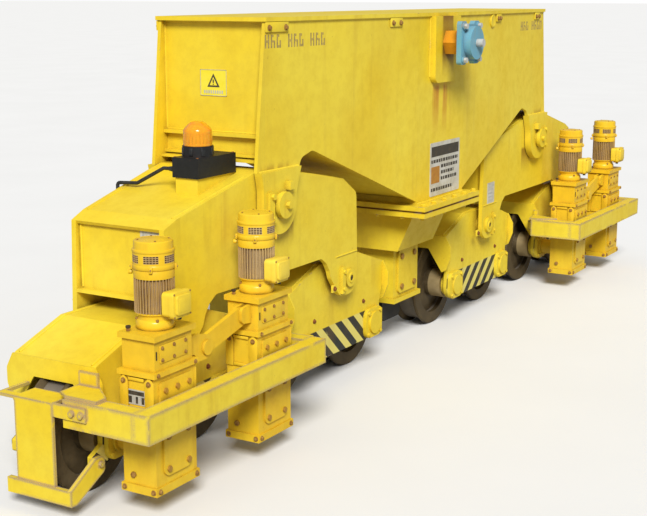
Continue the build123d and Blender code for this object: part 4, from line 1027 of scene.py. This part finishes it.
def equaliser_trim(way):
    """Pads, bolts and welds of one equaliser. Materials: paint, bolts, dark discs as painted shade in the
    pin holes.
    """
    piece = Piece(yellow, rusty_bolt, dark_fittings_and_hole_shade)
    for side in (-1, 1):
        for pin_x in (INNER_BOGIE_X, OUTER_BOGIE_X):
            pad_x = way * pin_x - 0.208
            surface = side * eq_half(abs(pad_x))
            near, far = sorted((surface - side * 0.004, surface + side * 0.010))
            piece.add(block((pad_x - 0.026, near, 0.716), (pad_x + 0.026, far, 0.768), 0.003))
            bolt(piece, (pad_x, surface + side * 0.010, 0.742), (0, side, 0), 0.012, 1)
            end = side * (eq_half(pin_x - 0.064) + 0.0221)
            piece.add(turned([(0.0, 0.001), (0.020, 0.001), (0.021, 0.006), (0.034, 0.006), (0.036, 0.0),
                              (0.0, 0.0)], (way * pin_x, end, 0.781), (0, side, 0), 32), 0)
            # dark disc deep in the pin end: painted shade for its recessed hole
            piece.add(peg((way * pin_x, end, 0.781), (0, side, 0), 0.002, 0.0185), 2)
        weld(piece, (way * 1.360, side * 0.372, 0.953), (way * 1.075, side * 0.372, 0.953), 0.006)
        weld(piece, (way * 3.185, side * (eq_half(3.185) + 0.001), 0.953),
             (way * 3.080, side * (eq_half(3.080) + 0.001), 0.953), 0.006)
        for x0, z0, x1, z1 in ((3.058, 1.469, 2.400, 1.625), (2.165, 1.652, 1.285, 1.482)):
            weld(piece, (way * x0, side * (eq_half(x0) - 0.034), z0 - 0.001),
                 (way * x1, side * (eq_half(x1) - 0.034), z1 - 0.001), 0.007)
        weld(piece, (way * 3.141, side * 0.290, 1.030), (way * 3.141, side * 0.290, 1.400), 0.008)
    return piece


for side, way in SIDES:
    equaliser_trim(way).finish(f"equaliser_trim_{side}", f"equaliser_{side}", "yellow_paint")

side_label = Piece(label_white, label_grey)
label_place = facing((1.235, -0.371, 1.045), (0, -1, 0))
side_label.add(round_slab(-0.072, 0.072, -0.090, 0.090, 0.005, 0.002), 0, label_place)
for row in range(5):
    z = 0.062 - row * 0.031
    mark(side_label, -0.056, z - 0.006, 0.056 - 0.012 * (row % 3), z + 0.006, 1, label_place,
         0.002, 0.003)
side_label.finish("equaliser_side_label", "equaliser_right", "yellow_paint")

end_label = Piece(label_white, label_grey)
label_place = facing((-3.140, -0.215, 1.376), (-1, 0, 0))
end_label.add(round_slab(-0.072, 0.072, -0.044, 0.044, 0.004, 0.002), 0, label_place)
for column in range(5):
    x = -0.056 + column * 0.024
    mark(end_label, x, -0.028, x + 0.014, 0.028, 1, label_place, 0.002, 0.003)
end_label.finish("equaliser_end_label", "equaliser_left", "yellow_paint")


def bogie_trim(centre):
    """Small bolts and welds of one bogie. Materials: paint, bolts."""
    piece = Piece(yellow, rusty_bolt)
    for side in (-1, 1):
        y = side * BOGIE_SIDE
        for dx in (-0.325, 0.355):
            bolt(piece, (centre + dx, y, 0.528), (0, side, 0), 0.0115, 1)
        for turn in (-1, 1):
            weld(piece, (centre + turn * 0.257, side * 0.257, 0.907),
                 (centre + turn * 0.630, side * 0.257, 0.779), 0.007)
        weld(piece, (centre - 0.257, side * 0.257, 0.907), (centre + 0.257, side * 0.257, 0.907), 0.007)
    return piece


for side, way in SIDES:
    for ring, reach in (("inner", INNER_BOGIE_X), ("outer", OUTER_BOGIE_X)):
        trim = bogie_trim(way * reach)
        trim.finish(f"bogie_{ring}_{side}_trim", f"bogie_{ring}_{side}", "yellow_paint")


# ---------------------------------------------------------------- finishes on the shared nodes

FINISHES = (
    (("web_", "end_plates"), web_yellow),
    (("trunnion_lugs",), trunnion_yellow),
    (("trunnion_stubs",), stub_orange),
    (("joint_flange",), joint_yellow),
    (("clamp_housing",), clamp_yellow),
    (("eq_left_sides", "eq_right_sides"), equaliser_yellow),
    (("bogie_inner_left_sides", "bogie_outer_left_sides"), left_bogie_yellow),
    (("bogie_inner_right_sides", "bogie_outer_right_sides"), right_bogie_yellow),
    (("bumper_", "rail_guard_"), low_yellow),
    (("gear_cases_",), drive_yellow),
    (("motor_housings_",), motor_yellow),
    (("bearing_unit_",), blue_paint),
    (("wheel_",), wheel_steel),
    (("rotor_", "beacon_reflector"), bright_steel),
    (("buffer_plunger",), buffer_steel),
    (("clamp_shoe", "beacon_cable"), black_rubber),
    (("beacon_box",), case_paint),
    (("beacon_lens",), amber),
)
for name, node in cad.items():
    chosen = yellow
    for starts, material in FINISHES:
        if name.startswith(starts):
            chosen = material
    node.data.materials.clear()
    node.data.materials.append(chosen)


# ---------------------------------------------------------------- floor, light and camera

def build_floor():
    made, tree, shader, place = new_material("pale studio floor")
    tone = noise(tree, place, 0.6, 3.0)
    seen = mix_colour(tree, tone, (0.84, 0.84, 0.84), (0.90, 0.90, 0.90))
    looked_at = add_node(tree, "ShaderNodeLightPath").outputs["Is Camera Ray"]
    colour = mix_colour(tree, looked_at, (0.42, 0.41, 0.38), seen)
    tree.links.new(colour, shader.inputs["Base Color"])
    shader.inputs["Specular IOR Level"].default_value = 0.0
    shader.inputs["Roughness"].default_value = 0.9
    ground = bmesh.new()
    bmesh.ops.create_grid(ground, x_segments=1, y_segments=1, size=300.0)
    mesh = bpy.data.meshes.new("studio_floor")
    ground.to_mesh(mesh)
    ground.free()
    mesh.materials.append(made)
    new_object("studio_floor", mesh)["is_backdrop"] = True


build_floor()

sun_data = bpy.data.lights.new("soft_sun", "SUN")
sun_data.energy = 3.65
sun_data.angle = 0.35
sun_data.color = (1.0, 0.985, 0.955)
sun = new_object("soft_sun", sun_data)
sun.rotation_mode = "QUATERNION"
sun.rotation_quaternion = Vector((0.64, 0.46, -0.61)).to_track_quat("-Z", "Y")
sun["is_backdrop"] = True

world = bpy.data.worlds.new("studio")
scene.world = world
world.use_nodes = True
sky = world.node_tree
sky.nodes.clear()
choice = add_node(sky, "ShaderNodeMixShader")
seen_directly = add_node(sky, "ShaderNodeLightPath").outputs["Is Camera Ray"]
sky.links.new(seen_directly, choice.inputs[0])
for index, colour, strength in ((1, (0.96, 0.98, 1.0), 0.34), (2, (1.0, 1.0, 1.0), 1.0)):
    glow = add_node(sky, "ShaderNodeBackground")
    feed(sky, glow.inputs["Color"], colour)
    feed(sky, glow.inputs["Strength"], strength)
    sky.links.new(glow.outputs[0], choice.inputs[index])
sky.links.new(choice.outputs[0], add_node(sky, "ShaderNodeOutputWorld").inputs["Surface"])

camera_data = bpy.data.cameras.new("camera")
camera_data.lens = 70.81
camera_data.sensor_width = 36.0
camera_data.clip_end = 1000.0
camera = new_object("camera", camera_data)
right = Vector((0.5123, -0.8588, 0.0)).normalized()
forward = Vector((0.8407, 0.5015, -0.2046)).normalized()
camera.matrix_world = Matrix.Translation((-8.6244, -4.6083, 2.7060)) @ Matrix(
    (right, right.cross(forward), -forward)).transposed().to_4x4()
scene.camera = camera
scene.view_settings.view_transform = "Standard"

low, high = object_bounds()
